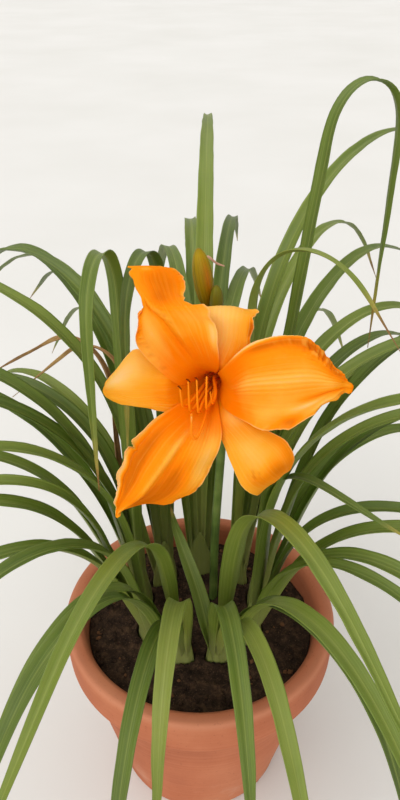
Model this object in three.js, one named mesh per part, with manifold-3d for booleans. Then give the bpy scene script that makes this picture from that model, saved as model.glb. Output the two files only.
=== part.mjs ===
// A daylily plant in flower, standing in a plain clay pot of soil. Millimetres, +Z up.
// The origin is the centre of the pot's underside. The open bloom looks towards -Y and a little up.
import * as THREE from 'three';
import { mergeVertices } from 'three/addons/utils/BufferGeometryUtils.js';
import Module from 'manifold-3d';

const wasm = await Module();
wasm.setup();

// Clearance between pieces that touch.
const GAP = 0.3;

// Pot.
const POT_HEIGHT = 190;
const POT_BASE_RADIUS = 78;
const POT_BODY_TOP_RADIUS = 110;
const RIM_RADIUS = 119;
const RIM_HEIGHT = 36;
const POT_WALL = 7;
const POT_FLOOR = 9;
const POT_SIDES = 32;
const DRAIN_RADIUS = 6;
const DRAIN_RING = 44;
const DRAIN_COUNT = 3;
const DRAIN_AZIMUTH = 90;

// Soil.
const SOIL_EDGE_HEIGHT = 170;
const SOIL_CROWN_HEIGHT = 176;
const HOLE_FLOOR = 138;

// Crown: where the fans of leaves and the flower stalk stand.
const FAN_RING = 52;
const FAN_RING_SHIFT = 8;
const FAN_HOLE_RADIUS = 14.6;
const SHEATH_HALF_WIDTH = 13.4;
const SHEATH_HALF_DEPTH = 7.5;
const SHEATH_HEIGHT = 84;
const LEAF_START_HEIGHT = 171;
const FOOT_OUT = 2;
const FOOT_SPREAD = 8;
const SCAPE_FOOT = new THREE.Vector3(12, 24, HOLE_FLOOR + GAP);
const SCAPE_RADIUS = 3.8;
const SCAPE_HOLE_RADIUS = 5.2;

// Leaves. A leaf is folded up along its midrib by its keel angle, most at its foot, and tapers to its tip.
const LEAF_THICKNESS = 0.9;
const LEAF_SEGMENTS = 7;
const LEAF_STEPS = 140;
const STATION_EVENNESS = 0.5;
const LEAF_SEED = 20;
const FOOT_WIDTH_SHARE = 0.72;
const FOOT_WIDTH_REACH = 0.3;
const TAPER_POWER = 2.6;
const TAPER_ROUNDING = 0.85;
const TIP_HALF_WIDTH = 0.7;
const FOOT_KEEL = 64;
const FOOT_KEEL_REACH = 0.34;
const TIP_KEEL_LOSS = 6;

// How the leaves of a fan differ: by a random play, by how far out they stand, and by every other one leaning
// out.
const LEAF_HABIT = {
  headingSpread: 14, headingPlay: 3,
  liftGain: 4, outerLiftLoss: 8, otherLiftLoss: 10, liftPlay: 3,
  droop: 95, outerDroop: 25, droopPlay: 30,
  lengthShare: 1.05, outerLengthLoss: 0.25, otherLengthLoss: 0.08, lengthPlay: 0.12,
  width: 15, widthPlay: 4,
  keel: 24, keelPlay: 6,
  swingPlay: 5,
  twistPlay: 30,
  bendFrom: 0.1, bendTo: 0.8, bendPlay: 0.15,
};
const HANGING_LEAF_WIDTH = 16;
const WITHERED_HOLE_RADIUS = 6;
const WITHERED_LEAVES = [
  { x: -69, y: 50, heading: 147, lift: 89, droop: 124, length: 450, swing: 0, bendFrom: 0.52, bendTo: 0.74 },
  { x: -57, y: 41, heading: 156, lift: 89, droop: 132, length: 410, swing: 0, bendFrom: 0.6, bendTo: 0.8 },
].map((leaf) => ({ ...leaf, width: 9, keel: 38, twist: 40 }));

// Bloom: a frame of its own, with its back to the stalk, tilted to look up.
const BLOOM_CENTRE = new THREE.Vector3(0, -80, 460);
const BLOOM_TILT = THREE.MathUtils.degToRad(33);
const BLOOM_UP = new THREE.Vector3(0, Math.sin(BLOOM_TILT), Math.cos(BLOOM_TILT));
const BLOOM_NEAR = new THREE.Vector3(0, -Math.cos(BLOOM_TILT), Math.sin(BLOOM_TILT));
const TEPAL_THICKNESS = 0.8;
const TUBE_LENGTH = 27;
const BLOOM_RIGHT = new THREE.Vector3(1, 0, 0);

// The flower's own axis, from the top of its tube out through the throat, in the bloom's frame.
const THROAT_FOOT = [10, 15, -55];
const THROAT_DIRECTION = [-0.2, -0.22, 0.935];

// The throat as a funnel: [distance along the axis, radius]. Sepals lie behind the petals by a step.
const THROAT = [[0, 5], [20, 9], [40, 18]];
const LAYER_STEP = 2.4;
const PETAL_GRID = [16, 8];
const SEPAL_GRID = [14, 6];

// Tepals: three broad inner petals and three narrower outer sepals. The rows run from the throat to the tip.
// Each row holds the clockwise margin, the midrib and the other margin, as [right, up, near] in the bloom's
// frame.
const TEPALS = [
  {
    name: 'petal_upper_left', inner: true, angle: 112, wrap: 56, fold: 0.3, ruffle: 1.4, waves: 5,
    rows: [
      [[11, 30, 6], [-17, 38, 1], [-37, 31, -3]],
      [[8, 45, 13], [-25, 50, 7], [-37, 45, 4]],
      [[-5.5, 56, 10], [-27.5, 59, 9], [-32.8, 57.5, 8]],
      [[-8.5, 69, -2], [-35, 70, 8], [-38, 69, 6]],
      [[-17, 80.5, -3], [-39, 77, 5], [-42, 77, 4]],
      [[-42, 80, 3], [-43, 79.5, 4], [-43, 78.5, 4]],
    ],
  },
  {
    name: 'petal_right', inner: true, angle: 6, wrap: 44, fold: 0.1, ruffle: 1.8, waves: 5,
    rows: [
      [[29, -14, 3], [30, 9, 6], [27, 32, 12]],
      [[41, -18, 10], [48, 10, 17], [45, 37, 18]],
      [[59, -12, 14], [64, 11, 20], [62, 36, 16]],
      [[73, -1, 16], [76, 10, 20], [76, 24, 14]],
      [[83, 3, 15], [84, 9, 17], [84, 13, 14]],
      [[87.5, 4.5, 15], [88.5, 7, 17], [88, 9.5, 15]],
    ],
  },
  {
    name: 'petal_lower_left', inner: true, angle: 258, wrap: 48, fold: 0.6, ruffle: 1.4, waves: 6,
    rows: [
      [[-30, -13, -10], [-15, -27, -6], [13, -25, -6]],
      [[-43, -27, -12], [-27, -46, -6], [4, -47, -13]],
      [[-48, -41, -15], [-35, -58, -9], [-10, -62, -20]],
      [[-52, -56, -19], [-43, -67, -15], [-28, -65, -24]],
      [[-53, -67, -20], [-50, -72, -20], [-46, -69, -22]],
      [[-53, -73, -20], [-52, -74, -20], [-50, -73, -20]],
    ],
  },
  {
    name: 'sepal_left', inner: false, angle: 178, wrap: 50, fold: 0, ruffle: 0.3, waves: 3,
    rows: [
      [[-24, 22, -22], [-28, 7, -18], [-25, -7, -18]],
      [[-39.5, 32, -17], [-42, 7, -17], [-38, -5, -20]],
      [[-52, 19, -17], [-52, 7, -17], [-50, -3, -20]],
      [[-58, 13, -19], [-58, 6, -19], [-57, 0, -21]],
      [[-60, 8, -20], [-61, 6, -20], [-60, 3, -20]],
    ],
  },
  {
    name: 'sepal_top', inner: false, angle: 64, wrap: 50, fold: 0, ruffle: 0.5, waves: 4,
    rows: [
      [[30, 30, -3], [16, 36, -3], [3, 39, -3]],
      [[32, 46, 0], [17, 49, 1], [0, 51, -2]],
      [[35, 54, -8], [18, 57, -6], [1, 58, -9]],
      [[32, 55, -18], [19, 57, -18], [5, 56, -19]],
      [[27, 53, -27], [20, 53, -27], [12, 53, -27]],
      [[21, 51, -31], [20, 50, -32], [19, 51, -31]],
    ],
  },
  {
    name: 'sepal_lower_right', inner: false, angle: 306, wrap: 36, fold: 0.1, ruffle: 0.3, waves: 3,
    rows: [
      [[12, -22, -14], [23, -23, -8], [37, -16, -8]],
      [[19, -39, -9], [33, -35, -4], [51, -24, -2]],
      [[26, -53, -10], [41, -45, -5], [57, -34, -4]],
      [[35, -59, -15], [47, -49, -13], [56, -41, -12]],
      [[39, -57, -23], [47, -50, -22], [54, -45, -21]],
      [[42, -51, -29], [45, -48, -29], [47, -46, -29]],
    ],
  },
];

// Floral tube with the ovary at its foot: [distance along the axis, radius].
const TUBE_PROFILE = [[-TUBE_LENGTH, 2.6], [-22, 3.6], [-16, 3.6], [-10, 3.3], [-5, 4.8], [-GAP, 7.6]];

// Stamens lie along the lower side of the throat and turn up at their tips.
const FILAMENT_RADIUS = 0.75;
const ANTHER_RADIUS = 0.65;
const ANTHER_HALF_LENGTH = 2.2;
const STAMENS = [
  { angle: 195, points: [[-3, 2, -26], [-10, -4, -12], [-12, 7, 6]], anther: [4, -5, 0] },
  { angle: 232, points: [[-1, -1, -26], [-6, -6, -12], [-7, 11, 6]], anther: [4, -4, 0] },
  { angle: 270, points: [[2, -1, -25], [-1, -7, -12], [-2, 12, 5]], anther: [4, 0, 1] },
  { angle: 0, points: [[8, 2, -27], [4, -5, -12], [4, 14, 4]], anther: [4, 1, 1] },
  { angle: 50, points: [[10, 5, -26], [8, -2, -14], [6, 5, 2]], anther: [3, 4, 0] },
  { angle: 120, points: [[4, 11, -28], [5, 12, -20]], anther: [4, 2, 0] },
];
const STYLE_RADIUS = 0.8;
const STIGMA_RADIUS = 1.3;
const PISTIL_POINTS = [[5, -5, -20], [2, -14, -6], [-2, -23, 2], [-5, -20, 6], [-5, -14, 8], [-5, -9, 9]];

// Flower stalk, its branches, the buds and the dry bract behind the large bud.
const SCAPE_PATH = vectors([[13, 22, 250], [17, 19, 350], [19, 18, 404]]);
const NECK_PATH = vectors([[18.5, 18.5, 390], [20, 17, 412]]);
const NECK_RADIUS = 2.5;
const PEDICEL_LENGTH = 8;
const BUD_BRANCH = vectors([[18, 18.5, 372], [15, 20, 405], [9, 13, 440], [5, 5, 466]]);
const BUD_BRANCH_RADIUS = 1.9;
const SMALL_BRANCH = vectors([[9.5, 13, 438], [11, 0, 460]]);
const SMALL_BRANCH_RADIUS = 1.4;
const BRANCH_END = 4;
const BIG_BUD = {
  base: new THREE.Vector3(4.8, 7, 480),
  direction: new THREE.Vector3(-0.152, 0.22, 0.96).normalize(),
  profile: [[0, 2.2], [3, 4], [8, 5.6], [15, 6.4], [23, 6.4], [30, 5.5], [35.5, 3.9], [39, 1.9], [40, 0.7]],
};
const SMALL_BUD = {
  base: new THREE.Vector3(11, -1, 474),
  direction: new THREE.Vector3(0, 0.16, 0.98).normalize(),
  profile: [[0, 1.6], [3, 3.2], [9, 4.3], [15, 4.3], [20, 3.3], [23, 1.7], [24, 0.6]],
};
const BRACT_PATH = vectors([
  [9, 14.9, 445], [4, 22, 475], [2, 25, 500], [6, 25, 510], [12, 20, 508], [17, 15, 504],
]);
const BRACT_HALF_WIDTHS = [1.2, 3, 3.4, 3, 2.4, 1.8, 1.4, 1.2, 1, 0.6];
const BRACT_THICKNESS = 0.7;

const group = new THREE.Group();
group.name = 'daylily_in_pot';

// ---- Helpers ----

function vectors(points) {
  return points.map((point) => new THREE.Vector3(...point));
}

function seeded(seed) {
  let state = seed;
  return () => {
    state = (state * 16807) % 2147483647;
    return state / 2147483647;
  };
}

function smoothstep(low, high, value) {
  const t = Math.min(Math.max((value - low) / (high - low), 0), 1);
  return t * t * (3 - 2 * t);
}

function turned(degrees) {
  const angle = THREE.MathUtils.degToRad(degrees);
  return [Math.cos(angle), Math.sin(angle)];
}

function toSolid(geometry) {
  const bare = new THREE.BufferGeometry();
  const source = geometry.index ? geometry.toNonIndexed() : geometry;
  bare.setAttribute('position', source.getAttribute('position'));
  const merged = mergeVertices(bare, 1e-4);
  return new wasm.Manifold(new wasm.Mesh({
    numProp: 3,
    vertProperties: merged.attributes.position.array,
    triVerts: new Uint32Array(merged.index.array),
  }));
}

function toGeometry(solid) {
  const mesh = solid.getMesh();
  const geometry = new THREE.BufferGeometry();
  geometry.setAttribute('position', new THREE.BufferAttribute(mesh.vertProperties, 3));
  geometry.setIndex(new THREE.BufferAttribute(mesh.triVerts, 1));
  geometry.computeVertexNormals();
  return geometry;
}

// Joins closed bodies in one. A hollow that this seals between them is filled.
function fuse(geometries) {
  const joined = geometries.map(toSolid).reduce((all, one) => all.add(one));
  const largestFirst = joined.decompose().sort((one, other) => other.volume() - one.volume());
  return toGeometry(largestFirst[0]);
}

function cut(body, tools) {
  return toGeometry(tools.map(toSolid).reduce((left, tool) => left.subtract(tool), toSolid(body)));
}

function add(name, geometry, material) {
  const mesh = new THREE.Mesh(geometry, material);
  mesh.name = name;
  group.add(mesh);
}

function paint(color, roughness) {
  return new THREE.MeshStandardMaterial({ color, roughness, metalness: 0 });
}

// A closed sheet of even thickness round a grid of points, split alike on both faces.
function thickSheet(rows, thickness) {
  const last = rows.length - 1;
  const edge = rows[0].length - 1;
  const faces = [[], []];
  rows.forEach((row, i) => row.forEach((point, j) => {
    const along = rows[Math.min(i + 1, last)][j].clone().sub(rows[Math.max(i - 1, 0)][j]);
    const across = row[Math.min(j + 1, edge)].clone().sub(row[Math.max(j - 1, 0)]);
    const normal = along.cross(across).normalize().multiplyScalar(thickness / 2);
    faces[0].push(point.clone().add(normal));
    faces[1].push(point.clone().sub(normal));
  }));
  const width = edge + 1;
  const count = faces[0].length;
  const index = [];
  const quad = (a, b, c, d) => index.push(a, b, c, a, c, d);
  for (let i = 0; i < last; i++) {
    for (let j = 0; j < edge; j++) {
      const a = i * width + j;
      const b = a + width;
      index.push(a, b, b + 1, a, b + 1, a + 1);
      index.push(count + a, count + b + 1, count + b, count + a, count + a + 1, count + b + 1);
    }
    const near = i * width;
    const far = near + edge;
    quad(near + width, near, count + near, count + near + width);
    quad(far, far + width, count + far + width, count + far);
  }
  const end = last * width;
  for (let j = 0; j < edge; j++) {
    quad(j, j + 1, count + j + 1, count + j);
    quad(end + j + 1, end + j, count + end + j, count + end + j + 1);
  }
  const geometry = new THREE.BufferGeometry().setFromPoints([...faces[0], ...faces[1]]);
  geometry.setIndex(index);
  return geometry;
}

// A closed body through rings of points, each ring running the same way round.
function loft(rings) {
  const sides = rings[0].length;
  const points = rings.flat();
  const middle = (ring) => ring.reduce((sum, p) => sum.add(p), new THREE.Vector3()).divideScalar(sides);
  const foot = points.push(middle(rings[0])) - 1;
  const head = points.push(middle(rings.at(-1))) - 1;
  const index = [];
  const top = (rings.length - 1) * sides;
  for (let j = 0; j < sides; j++) {
    const next = (j + 1) % sides;
    for (let i = 0; i < rings.length - 1; i++) {
      const a = i * sides + j;
      const b = i * sides + next;
      index.push(a, b, b + sides, a, b + sides, a + sides);
    }
    index.push(foot, next, j, head, top + j, top + next);
  }
  const geometry = new THREE.BufferGeometry().setFromPoints(points);
  geometry.setIndex(index);
  return geometry;
}

function smoothCurve(points) {
  return new THREE.CatmullRomCurve3(points, false, 'catmullrom', 0.5);
}

function stem(points, radius, sides, steps) {
  const outline = new THREE.Shape();
  for (let k = 0; k < sides; k++) {
    const [x, y] = turned(360 * k / sides);
    if (k === 0) outline.moveTo(radius * x, radius * y);
    else outline.lineTo(radius * x, radius * y);
  }
  return new THREE.ExtrudeGeometry(outline, { steps, extrudePath: smoothCurve(points) });
}

// ---- Pot and soil ----

function upright(geometry) {
  return geometry.rotateX(Math.PI / 2);
}

function ringTool(x, y, low, high, radius, sides) {
  const tool = upright(new THREE.CylinderGeometry(radius, radius, high - low, sides));
  return tool.translate(x, y, (low + high) / 2);
}

function potInside(height) {
  const share = (height - POT_FLOOR) / (POT_HEIGHT - POT_FLOOR);
  const low = POT_BASE_RADIUS - POT_WALL + 2;
  return low + share * (POT_BODY_TOP_RADIUS - POT_WALL - low);
}

function makePot() {
  const rimFoot = POT_HEIGHT - RIM_HEIGHT;
  const profile = [
    [0, 0],
    [POT_BASE_RADIUS - 2, 0],
    [POT_BASE_RADIUS, 3],
    [POT_BODY_TOP_RADIUS - 2, rimFoot - 1],
    [RIM_RADIUS - 3, rimFoot],
    [RIM_RADIUS - 1, rimFoot + 4],
    [RIM_RADIUS, POT_HEIGHT - 5],
    [RIM_RADIUS - 3, POT_HEIGHT],
    [potInside(POT_HEIGHT) + 4, POT_HEIGHT],
    [potInside(POT_HEIGHT), POT_HEIGHT - 4],
    [potInside(POT_FLOOR), POT_FLOOR],
    [0, POT_FLOOR],
  ].map(([x, y]) => new THREE.Vector2(x, y));
  const body = upright(new THREE.LatheGeometry(profile, POT_SIDES));
  const drains = Array.from({ length: DRAIN_COUNT }, (_, k) => {
    const [x, y] = turned(DRAIN_AZIMUTH + 360 * k / DRAIN_COUNT);
    return ringTool(DRAIN_RING * x, DRAIN_RING * y, -1, POT_FLOOR + 1, DRAIN_RADIUS, 12);
  });
  add('pot', cut(body, drains), paint(0xa9603c, 0.85));
}

function makeSoil(fanPlaces) {
  const floor = POT_FLOOR + GAP;
  const profile = [
    [0, floor],
    [potInside(floor) - GAP, floor],
    [potInside(SOIL_EDGE_HEIGHT) - GAP, SOIL_EDGE_HEIGHT],
    [82, SOIL_EDGE_HEIGHT + 3],
    [40, SOIL_CROWN_HEIGHT],
    [0, SOIL_CROWN_HEIGHT],
  ].map(([x, y]) => new THREE.Vector2(x, y));
  const body = upright(new THREE.LatheGeometry(profile, POT_SIDES));
  const holes = fanPlaces.map(({ x, y, radius }) => ringTool(x, y, HOLE_FLOOR, POT_HEIGHT, radius, 12));
  add('soil', cut(body, holes), paint(0x2e2219, 0.95));
}

// ---- Leaves ----

// The half width along a strap leaf: narrower at its foot, even, then a long taper to the tip.
function leafHalfWidth(leaf, t) {
  const foot = FOOT_WIDTH_SHARE + (1 - FOOT_WIDTH_SHARE) * smoothstep(0, FOOT_WIDTH_REACH, t);
  const taper = Math.max(1 - t ** TAPER_POWER, 0) ** TAPER_ROUNDING;
  return Math.max(leaf.width / 2 * foot * taper, TIP_HALF_WIDTH);
}

// How steeply the two halves of a leaf fold up from its midrib, in degrees.
function leafKeel(leaf, t) {
  const closed = 1 - smoothstep(0, FOOT_KEEL_REACH, t);
  return leaf.keel + (FOOT_KEEL - leaf.keel) * closed - TIP_KEEL_LOSS * t;
}

// A leaf rises at its lift angle, then turns over by its droop between two places along its length.
// Its rows of points lie closer together where it bends.
function leafRows(leaf) {
  const rows = [];
  const place = leaf.foot.clone();
  for (let step = 0; step <= LEAF_STEPS; step++) {
    const t = step / LEAF_STEPS;
    const turn = smoothstep(leaf.bendFrom, leaf.bendTo, t);
    const [level, rise] = turned(leaf.lift - leaf.droop * turn);
    const [x, y] = turned(leaf.heading + leaf.swing * t * t);
    const tangent = new THREE.Vector3(level * x, level * y, rise);
    const share = STATION_EVENNESS * t + (1 - STATION_EVENNESS) * turn;
    if (share >= rows.length / LEAF_SEGMENTS - 1e-9) {
      const flat = new THREE.Vector3(-y, x, 0);
      const over = tangent.clone().cross(flat);
      const [c, s] = turned(leaf.twist * t * t);
      const side = flat.clone().multiplyScalar(c).addScaledVector(over, s);
      const face = tangent.clone().cross(side);
      const half = leafHalfWidth(leaf, t);
      const [out, up] = turned(leafKeel(leaf, t));
      rows.push([-1, 0, 1].map((v) => place.clone()
        .addScaledVector(side, v * half * out)
        .addScaledVector(face, Math.abs(v) * half * up)));
    }
    place.addScaledVector(tangent, leaf.length / LEAF_STEPS);
  }
  return rows;
}

// The overlapping leaf bases of a fan, grown together, flattened across the fan.
function sheath(fan) {
  const profile = [[0, 0], [0.8, 0], [0.95, 6], [1, 34], [0.82, 52], [0.45, 72], [0, SHEATH_HEIGHT]]
    .map(([share, height]) => new THREE.Vector2(share * SHEATH_HALF_WIDTH, height));
  const body = upright(new THREE.LatheGeometry(profile, 12));
  body.scale(SHEATH_HALF_DEPTH / SHEATH_HALF_WIDTH, 1, 1);
  body.rotateZ(THREE.MathUtils.degToRad(fan.azimuth));
  return body.translate(fan.x, fan.y, HOLE_FLOOR + GAP);
}

// Fans stand in a ring. The front ones are short, so that the bloom stands clear above them.
const FAN_PLANS = [
  { azimuth: 10, leaves: 6, length: 560, lift: 84 },
  { azimuth: 50, leaves: 6, length: 600, lift: 84 },
  { azimuth: 90, leaves: 6, length: 620, lift: 85 },
  { azimuth: 130, leaves: 6, length: 600, lift: 84 },
  { azimuth: 170, leaves: 6, length: 560, lift: 84 },
  { azimuth: 210, leaves: 5, length: 470, lift: 80 },
  { azimuth: 250, leaves: 5, length: 400, lift: 76 },
  { azimuth: 290, leaves: 5, length: 400, lift: 76 },
  { azimuth: 330, leaves: 5, length: 470, lift: 80 },
];

// Long leaves that rise beside the bloom, fold over and hang, each in the fan that it grows from.
// Each row is the fan, the place along it, heading, lift, droop, length, swing, and the bend's start and end.
const HANGING_LEAVES = [
  [5, 8, 248, 89, 175, 545, 28, 0.56, 0.82],
  [4, -7, 257, 89, 174, 520, -8, 0.56, 0.81],
  [2, -3, 313, 89, 138, 462, 13, 0.6, 0.93],
  [2, -9, 34, 82, 172, 690, -15, 0.58, 0.75],
  [9, 8, 304, 88, 91, 300, 14, 0.45, 0.82],
  [8, -8, 120, 74, 60, 150, -20, 0.07, 0.85],
].map(([fan, along, heading, lift, droop, length, swing, bendFrom, bendTo]) => (
  { fan, along, heading, lift, droop, length, swing, bendFrom, bendTo }
));

// A foot in a fan's sheath, along the flat of the fan from its middle.
function leafFoot(fan, along) {
  const [outX, outY] = turned(fan.azimuth);
  const x = fan.x + FOOT_OUT * outX - along * outY;
  const y = fan.y + FOOT_OUT * outY + along * outX;
  return new THREE.Vector3(x, y, LEAF_START_HEIGHT);
}

// The leaves of a fan spread sideways, and every other one leans further out than its neighbours.
function fanLeaves(fan, random) {
  return Array.from({ length: fan.leaves }, (_, k) => {
    const place = 2 * k / (fan.leaves - 1) - 1;
    const outer = Math.abs(place);
    const other = k % 2;
    const h = LEAF_HABIT;
    const lengthLoss = h.outerLengthLoss * outer + h.otherLengthLoss * other;
    return {
      foot: leafFoot(fan, FOOT_SPREAD * place),
      heading: fan.azimuth + h.headingSpread * place + h.headingPlay * (random() - 0.5),
      lift: fan.lift + h.liftGain - h.outerLiftLoss * outer - h.otherLiftLoss * other + h.liftPlay * random(),
      droop: h.droop + h.outerDroop * outer + h.droopPlay * random(),
      length: fan.length * (h.lengthShare - lengthLoss + h.lengthPlay * random()),
      width: h.width + h.widthPlay * random(),
      keel: h.keel + h.keelPlay * random(),
      swing: h.swingPlay * (random() - 0.5),
      twist: h.twistPlay * (random() - 0.5),
      bendFrom: h.bendFrom + h.bendPlay * random(),
      bendTo: h.bendTo + h.bendPlay * random(),
    };
  });
}

function makeFans() {
  const random = seeded(LEAF_SEED);
  const green = paint(0x55702c, 0.5);
  const fans = FAN_PLANS.map((plan) => {
    const [x, y] = turned(plan.azimuth);
    return { ...plan, x: FAN_RING * x, y: FAN_RING * y + FAN_RING_SHIFT };
  });
  fans.forEach((fan, k) => {
    const hanging = HANGING_LEAVES.filter((leaf) => leaf.fan === k + 1).map((leaf) => (
      { ...leaf, foot: leafFoot(fan, leaf.along), width: HANGING_LEAF_WIDTH, keel: LEAF_HABIT.keel, twist: 0 }
    ));
    const leaves = [...fanLeaves(fan, random), ...hanging];
    const blades = leaves.map((leaf) => thickSheet(leafRows(leaf), LEAF_THICKNESS));
    add(`leaf_fan_${k + 1}`, fuse([sheath(fan), ...blades]), green);
  });
  return fans;
}

function makeWitheredLeaves() {
  const tan = paint(0x9c7a45, 0.8);
  WITHERED_LEAVES.forEach((leaf, k) => {
    const foot = new THREE.Vector3(leaf.x, leaf.y, HOLE_FLOOR + 2 * GAP);
    add(`withered_leaf_${k + 1}`, thickSheet(leafRows({ ...leaf, foot }), LEAF_THICKNESS), tan);
  });
}

// ---- Scape, bract and buds ----

// A closed body round a straight axis, from [distance along it, radius] pairs, with three soft lobes.
function spindle(base, direction, profile, sides, lobe) {
  const turn = new THREE.Quaternion().setFromUnitVectors(new THREE.Vector3(0, 0, 1), direction);
  return loft(profile.map(([distance, radius]) => Array.from({ length: sides }, (_, k) => {
    const angle = 360 * k / sides;
    const [x, y] = turned(angle);
    const reach = radius * (1 + lobe * Math.cos(THREE.MathUtils.degToRad(3 * angle)));
    return new THREE.Vector3(reach * x, reach * y, distance).applyQuaternion(turn).add(base);
  })));
}

// A narrow blade along a hand-drawn path, with [half width] at even steps.
function blade(points, halfWidths, side, thickness) {
  const path = smoothCurve(points);
  const last = halfWidths.length - 1;
  return thickSheet(halfWidths.map((half, i) => {
    const place = path.getPoint(i / last);
    const tangent = path.getTangent(i / last);
    const across = side.clone().cross(tangent).cross(tangent).normalize();
    return [-1, 0, 1].map((v) => place.clone().addScaledVector(across, v * half));
  }), thickness);
}

function makeScape() {
  const green = paint(0x5d7a33, 0.5);
  const underBud = ({ base, direction }) => (
    [-BRANCH_END, -GAP].map((far) => base.clone().addScaledVector(direction, far))
  );
  const pedicel = [flowerPoint(-TUBE_LENGTH - PEDICEL_LENGTH), flowerPoint(-TUBE_LENGTH - GAP)];
  const main = stem([SCAPE_FOOT, ...SCAPE_PATH], SCAPE_RADIUS, 8, 12);
  const neck = stem([...NECK_PATH, ...pedicel], NECK_RADIUS, 8, 6);
  const branch = stem([...BUD_BRANCH, ...underBud(BIG_BUD)], BUD_BRANCH_RADIUS, 6, 8);
  const twig = stem([...SMALL_BRANCH, ...underBud(SMALL_BUD)], SMALL_BRANCH_RADIUS, 6, 4);
  add('scape', fuse([main, neck, branch, twig]), green);
  const bract = blade(BRACT_PATH, BRACT_HALF_WIDTHS, new THREE.Vector3(0, 1, 0), BRACT_THICKNESS);
  add('bract', bract, paint(0xa07a5c, 0.8));
}

function makeBuds() {
  const big = spindle(BIG_BUD.base, BIG_BUD.direction, BIG_BUD.profile, 12, 0.05);
  const small = spindle(SMALL_BUD.base, SMALL_BUD.direction, SMALL_BUD.profile, 10, 0.04);
  add('bud_large', big, paint(0x9c8a22, 0.5));
  add('bud_small', small, paint(0x6e7a2c, 0.5));
}

// ---- Bloom ----

function bloomPoint([right, up, near]) {
  return BLOOM_CENTRE.clone()
    .add(new THREE.Vector3(right, 0, 0))
    .addScaledVector(BLOOM_UP, up)
    .addScaledVector(BLOOM_NEAR, near);
}

// A point of the flower's own axis, or off it by a radius at an angle, anticlockwise as the bloom is faced.
function flowerPoint(along, radius = 0, angle = 0) {
  const [right, up] = turned(angle);
  return FLOWER_FOOT.clone()
    .addScaledVector(FLOWER_AXIS, along)
    .addScaledVector(FLOWER_RIGHT, radius * right)
    .addScaledVector(FLOWER_UP, radius * up);
}

function tepalCurves(tepal) {
  const throat = THROAT.map(([along, radius]) => [-1, 0, 1].map((v) => (
    flowerPoint(along, radius + (tepal.inner ? 0 : LAYER_STEP), tepal.angle + v * tepal.wrap)
  )));
  const rows = [...throat, ...tepal.rows.map((row) => row.map(bloomPoint))];
  return [0, 1, 2].map((k) => smoothCurve(rows.map((row) => row[k])));
}

// The smooth face of a tepal at u along it and v across it, from -1 to 1.
function tepalFace(tepal, curves, u, v) {
  const [before, middle, after] = curves.map((curve) => curve.getPoint(Math.min(Math.max(u, 0), 1)));
  const half = after.clone().sub(before).multiplyScalar(0.5);
  const sag = after.clone().add(before).multiplyScalar(0.5).sub(middle);
  const bow = (1 - tepal.fold) * v * v + tepal.fold * Math.abs(v);
  return middle.addScaledVector(half, v).addScaledVector(sag, bow);
}

// The face with its ruffled margins.
function tepalPoint(tepal, curves, u, v) {
  const step = 0.01;
  const along = tepalFace(tepal, curves, u + step, v).sub(tepalFace(tepal, curves, u - step, v));
  const across = tepalFace(tepal, curves, u, v + step).sub(tepalFace(tepal, curves, u, v - step));
  const normal = along.cross(across).normalize();
  const reach = smoothstep(0.3, 0.55, u) * (1 - smoothstep(0.85, 1, u));
  const phase = 2 * Math.PI * (tepal.waves * u + (v < 0 ? 0.3 : 0));
  const wave = Math.sin(phase) + 0.35 * Math.sin(1.7 * phase + 1);
  const lift = tepal.ruffle * reach * Math.abs(v) ** 3 * wave;
  return tepalFace(tepal, curves, u, v).addScaledVector(normal, lift);
}

function makeTepals() {
  const orange = paint(0xf5891c, 0.45);
  TEPALS.forEach((tepal) => {
    const curves = tepalCurves(tepal);
    const [segments, columns] = tepal.inner ? PETAL_GRID : SEPAL_GRID;
    const shares = Array.from({ length: columns + 1 }, (_, j) => 2 * j / columns - 1);
    const rows = Array.from({ length: segments + 1 }, (_, i) => (
      shares.map((v) => tepalPoint(tepal, curves, i / segments, v))
    ));
    add(tepal.name, thickSheet(rows, TEPAL_THICKNESS), orange);
  });
}

function makeTube() {
  add('floral_tube', spindle(flowerPoint(0), FLOWER_AXIS, TUBE_PROFILE, 12, 0.03), paint(0xb9a03a, 0.5));
}

function makeStamens() {
  const orange = paint(0xf08a2a, 0.5);
  const dark = paint(0x2c1a1c, 0.8);
  STAMENS.forEach((stamen, k) => {
    const throat = [
      flowerPoint(GAP, 3, stamen.angle),
      flowerPoint(16, 3.8, stamen.angle),
    ];
    const points = [...throat, ...stamen.points.map(bloomPoint)];
    add(`filament_${k + 1}`, stem(points, FILAMENT_RADIUS, 5, 10), orange);
    const tip = points.at(-1);
    const direction = tip.clone().sub(points.at(-2)).normalize();
    const along = bloomPoint(stamen.anther).sub(bloomPoint([0, 0, 0])).normalize();
    along.addScaledVector(direction, -along.dot(direction)).normalize();
    const anther = new THREE.SphereGeometry(1, 6, 5).scale(ANTHER_RADIUS, ANTHER_HALF_LENGTH, ANTHER_RADIUS);
    anther.applyQuaternion(new THREE.Quaternion().setFromUnitVectors(new THREE.Vector3(0, 1, 0), along));
    const centre = tip.clone().addScaledVector(direction, ANTHER_RADIUS + GAP);
    add(`anther_${k + 1}`, anther.translate(centre.x, centre.y, centre.z), dark);
  });
}

function makePistil() {
  const points = [flowerPoint(GAP), flowerPoint(16, 5.4, 316), ...PISTIL_POINTS.map(bloomPoint)];
  const tip = points.at(-1);
  const stigma = new THREE.SphereGeometry(STIGMA_RADIUS, 6, 4).translate(tip.x, tip.y, tip.z);
  add('pistil', fuse([stem(points, STYLE_RADIUS, 5, 12), stigma]), paint(0xf2a24a, 0.5));
}

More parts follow.
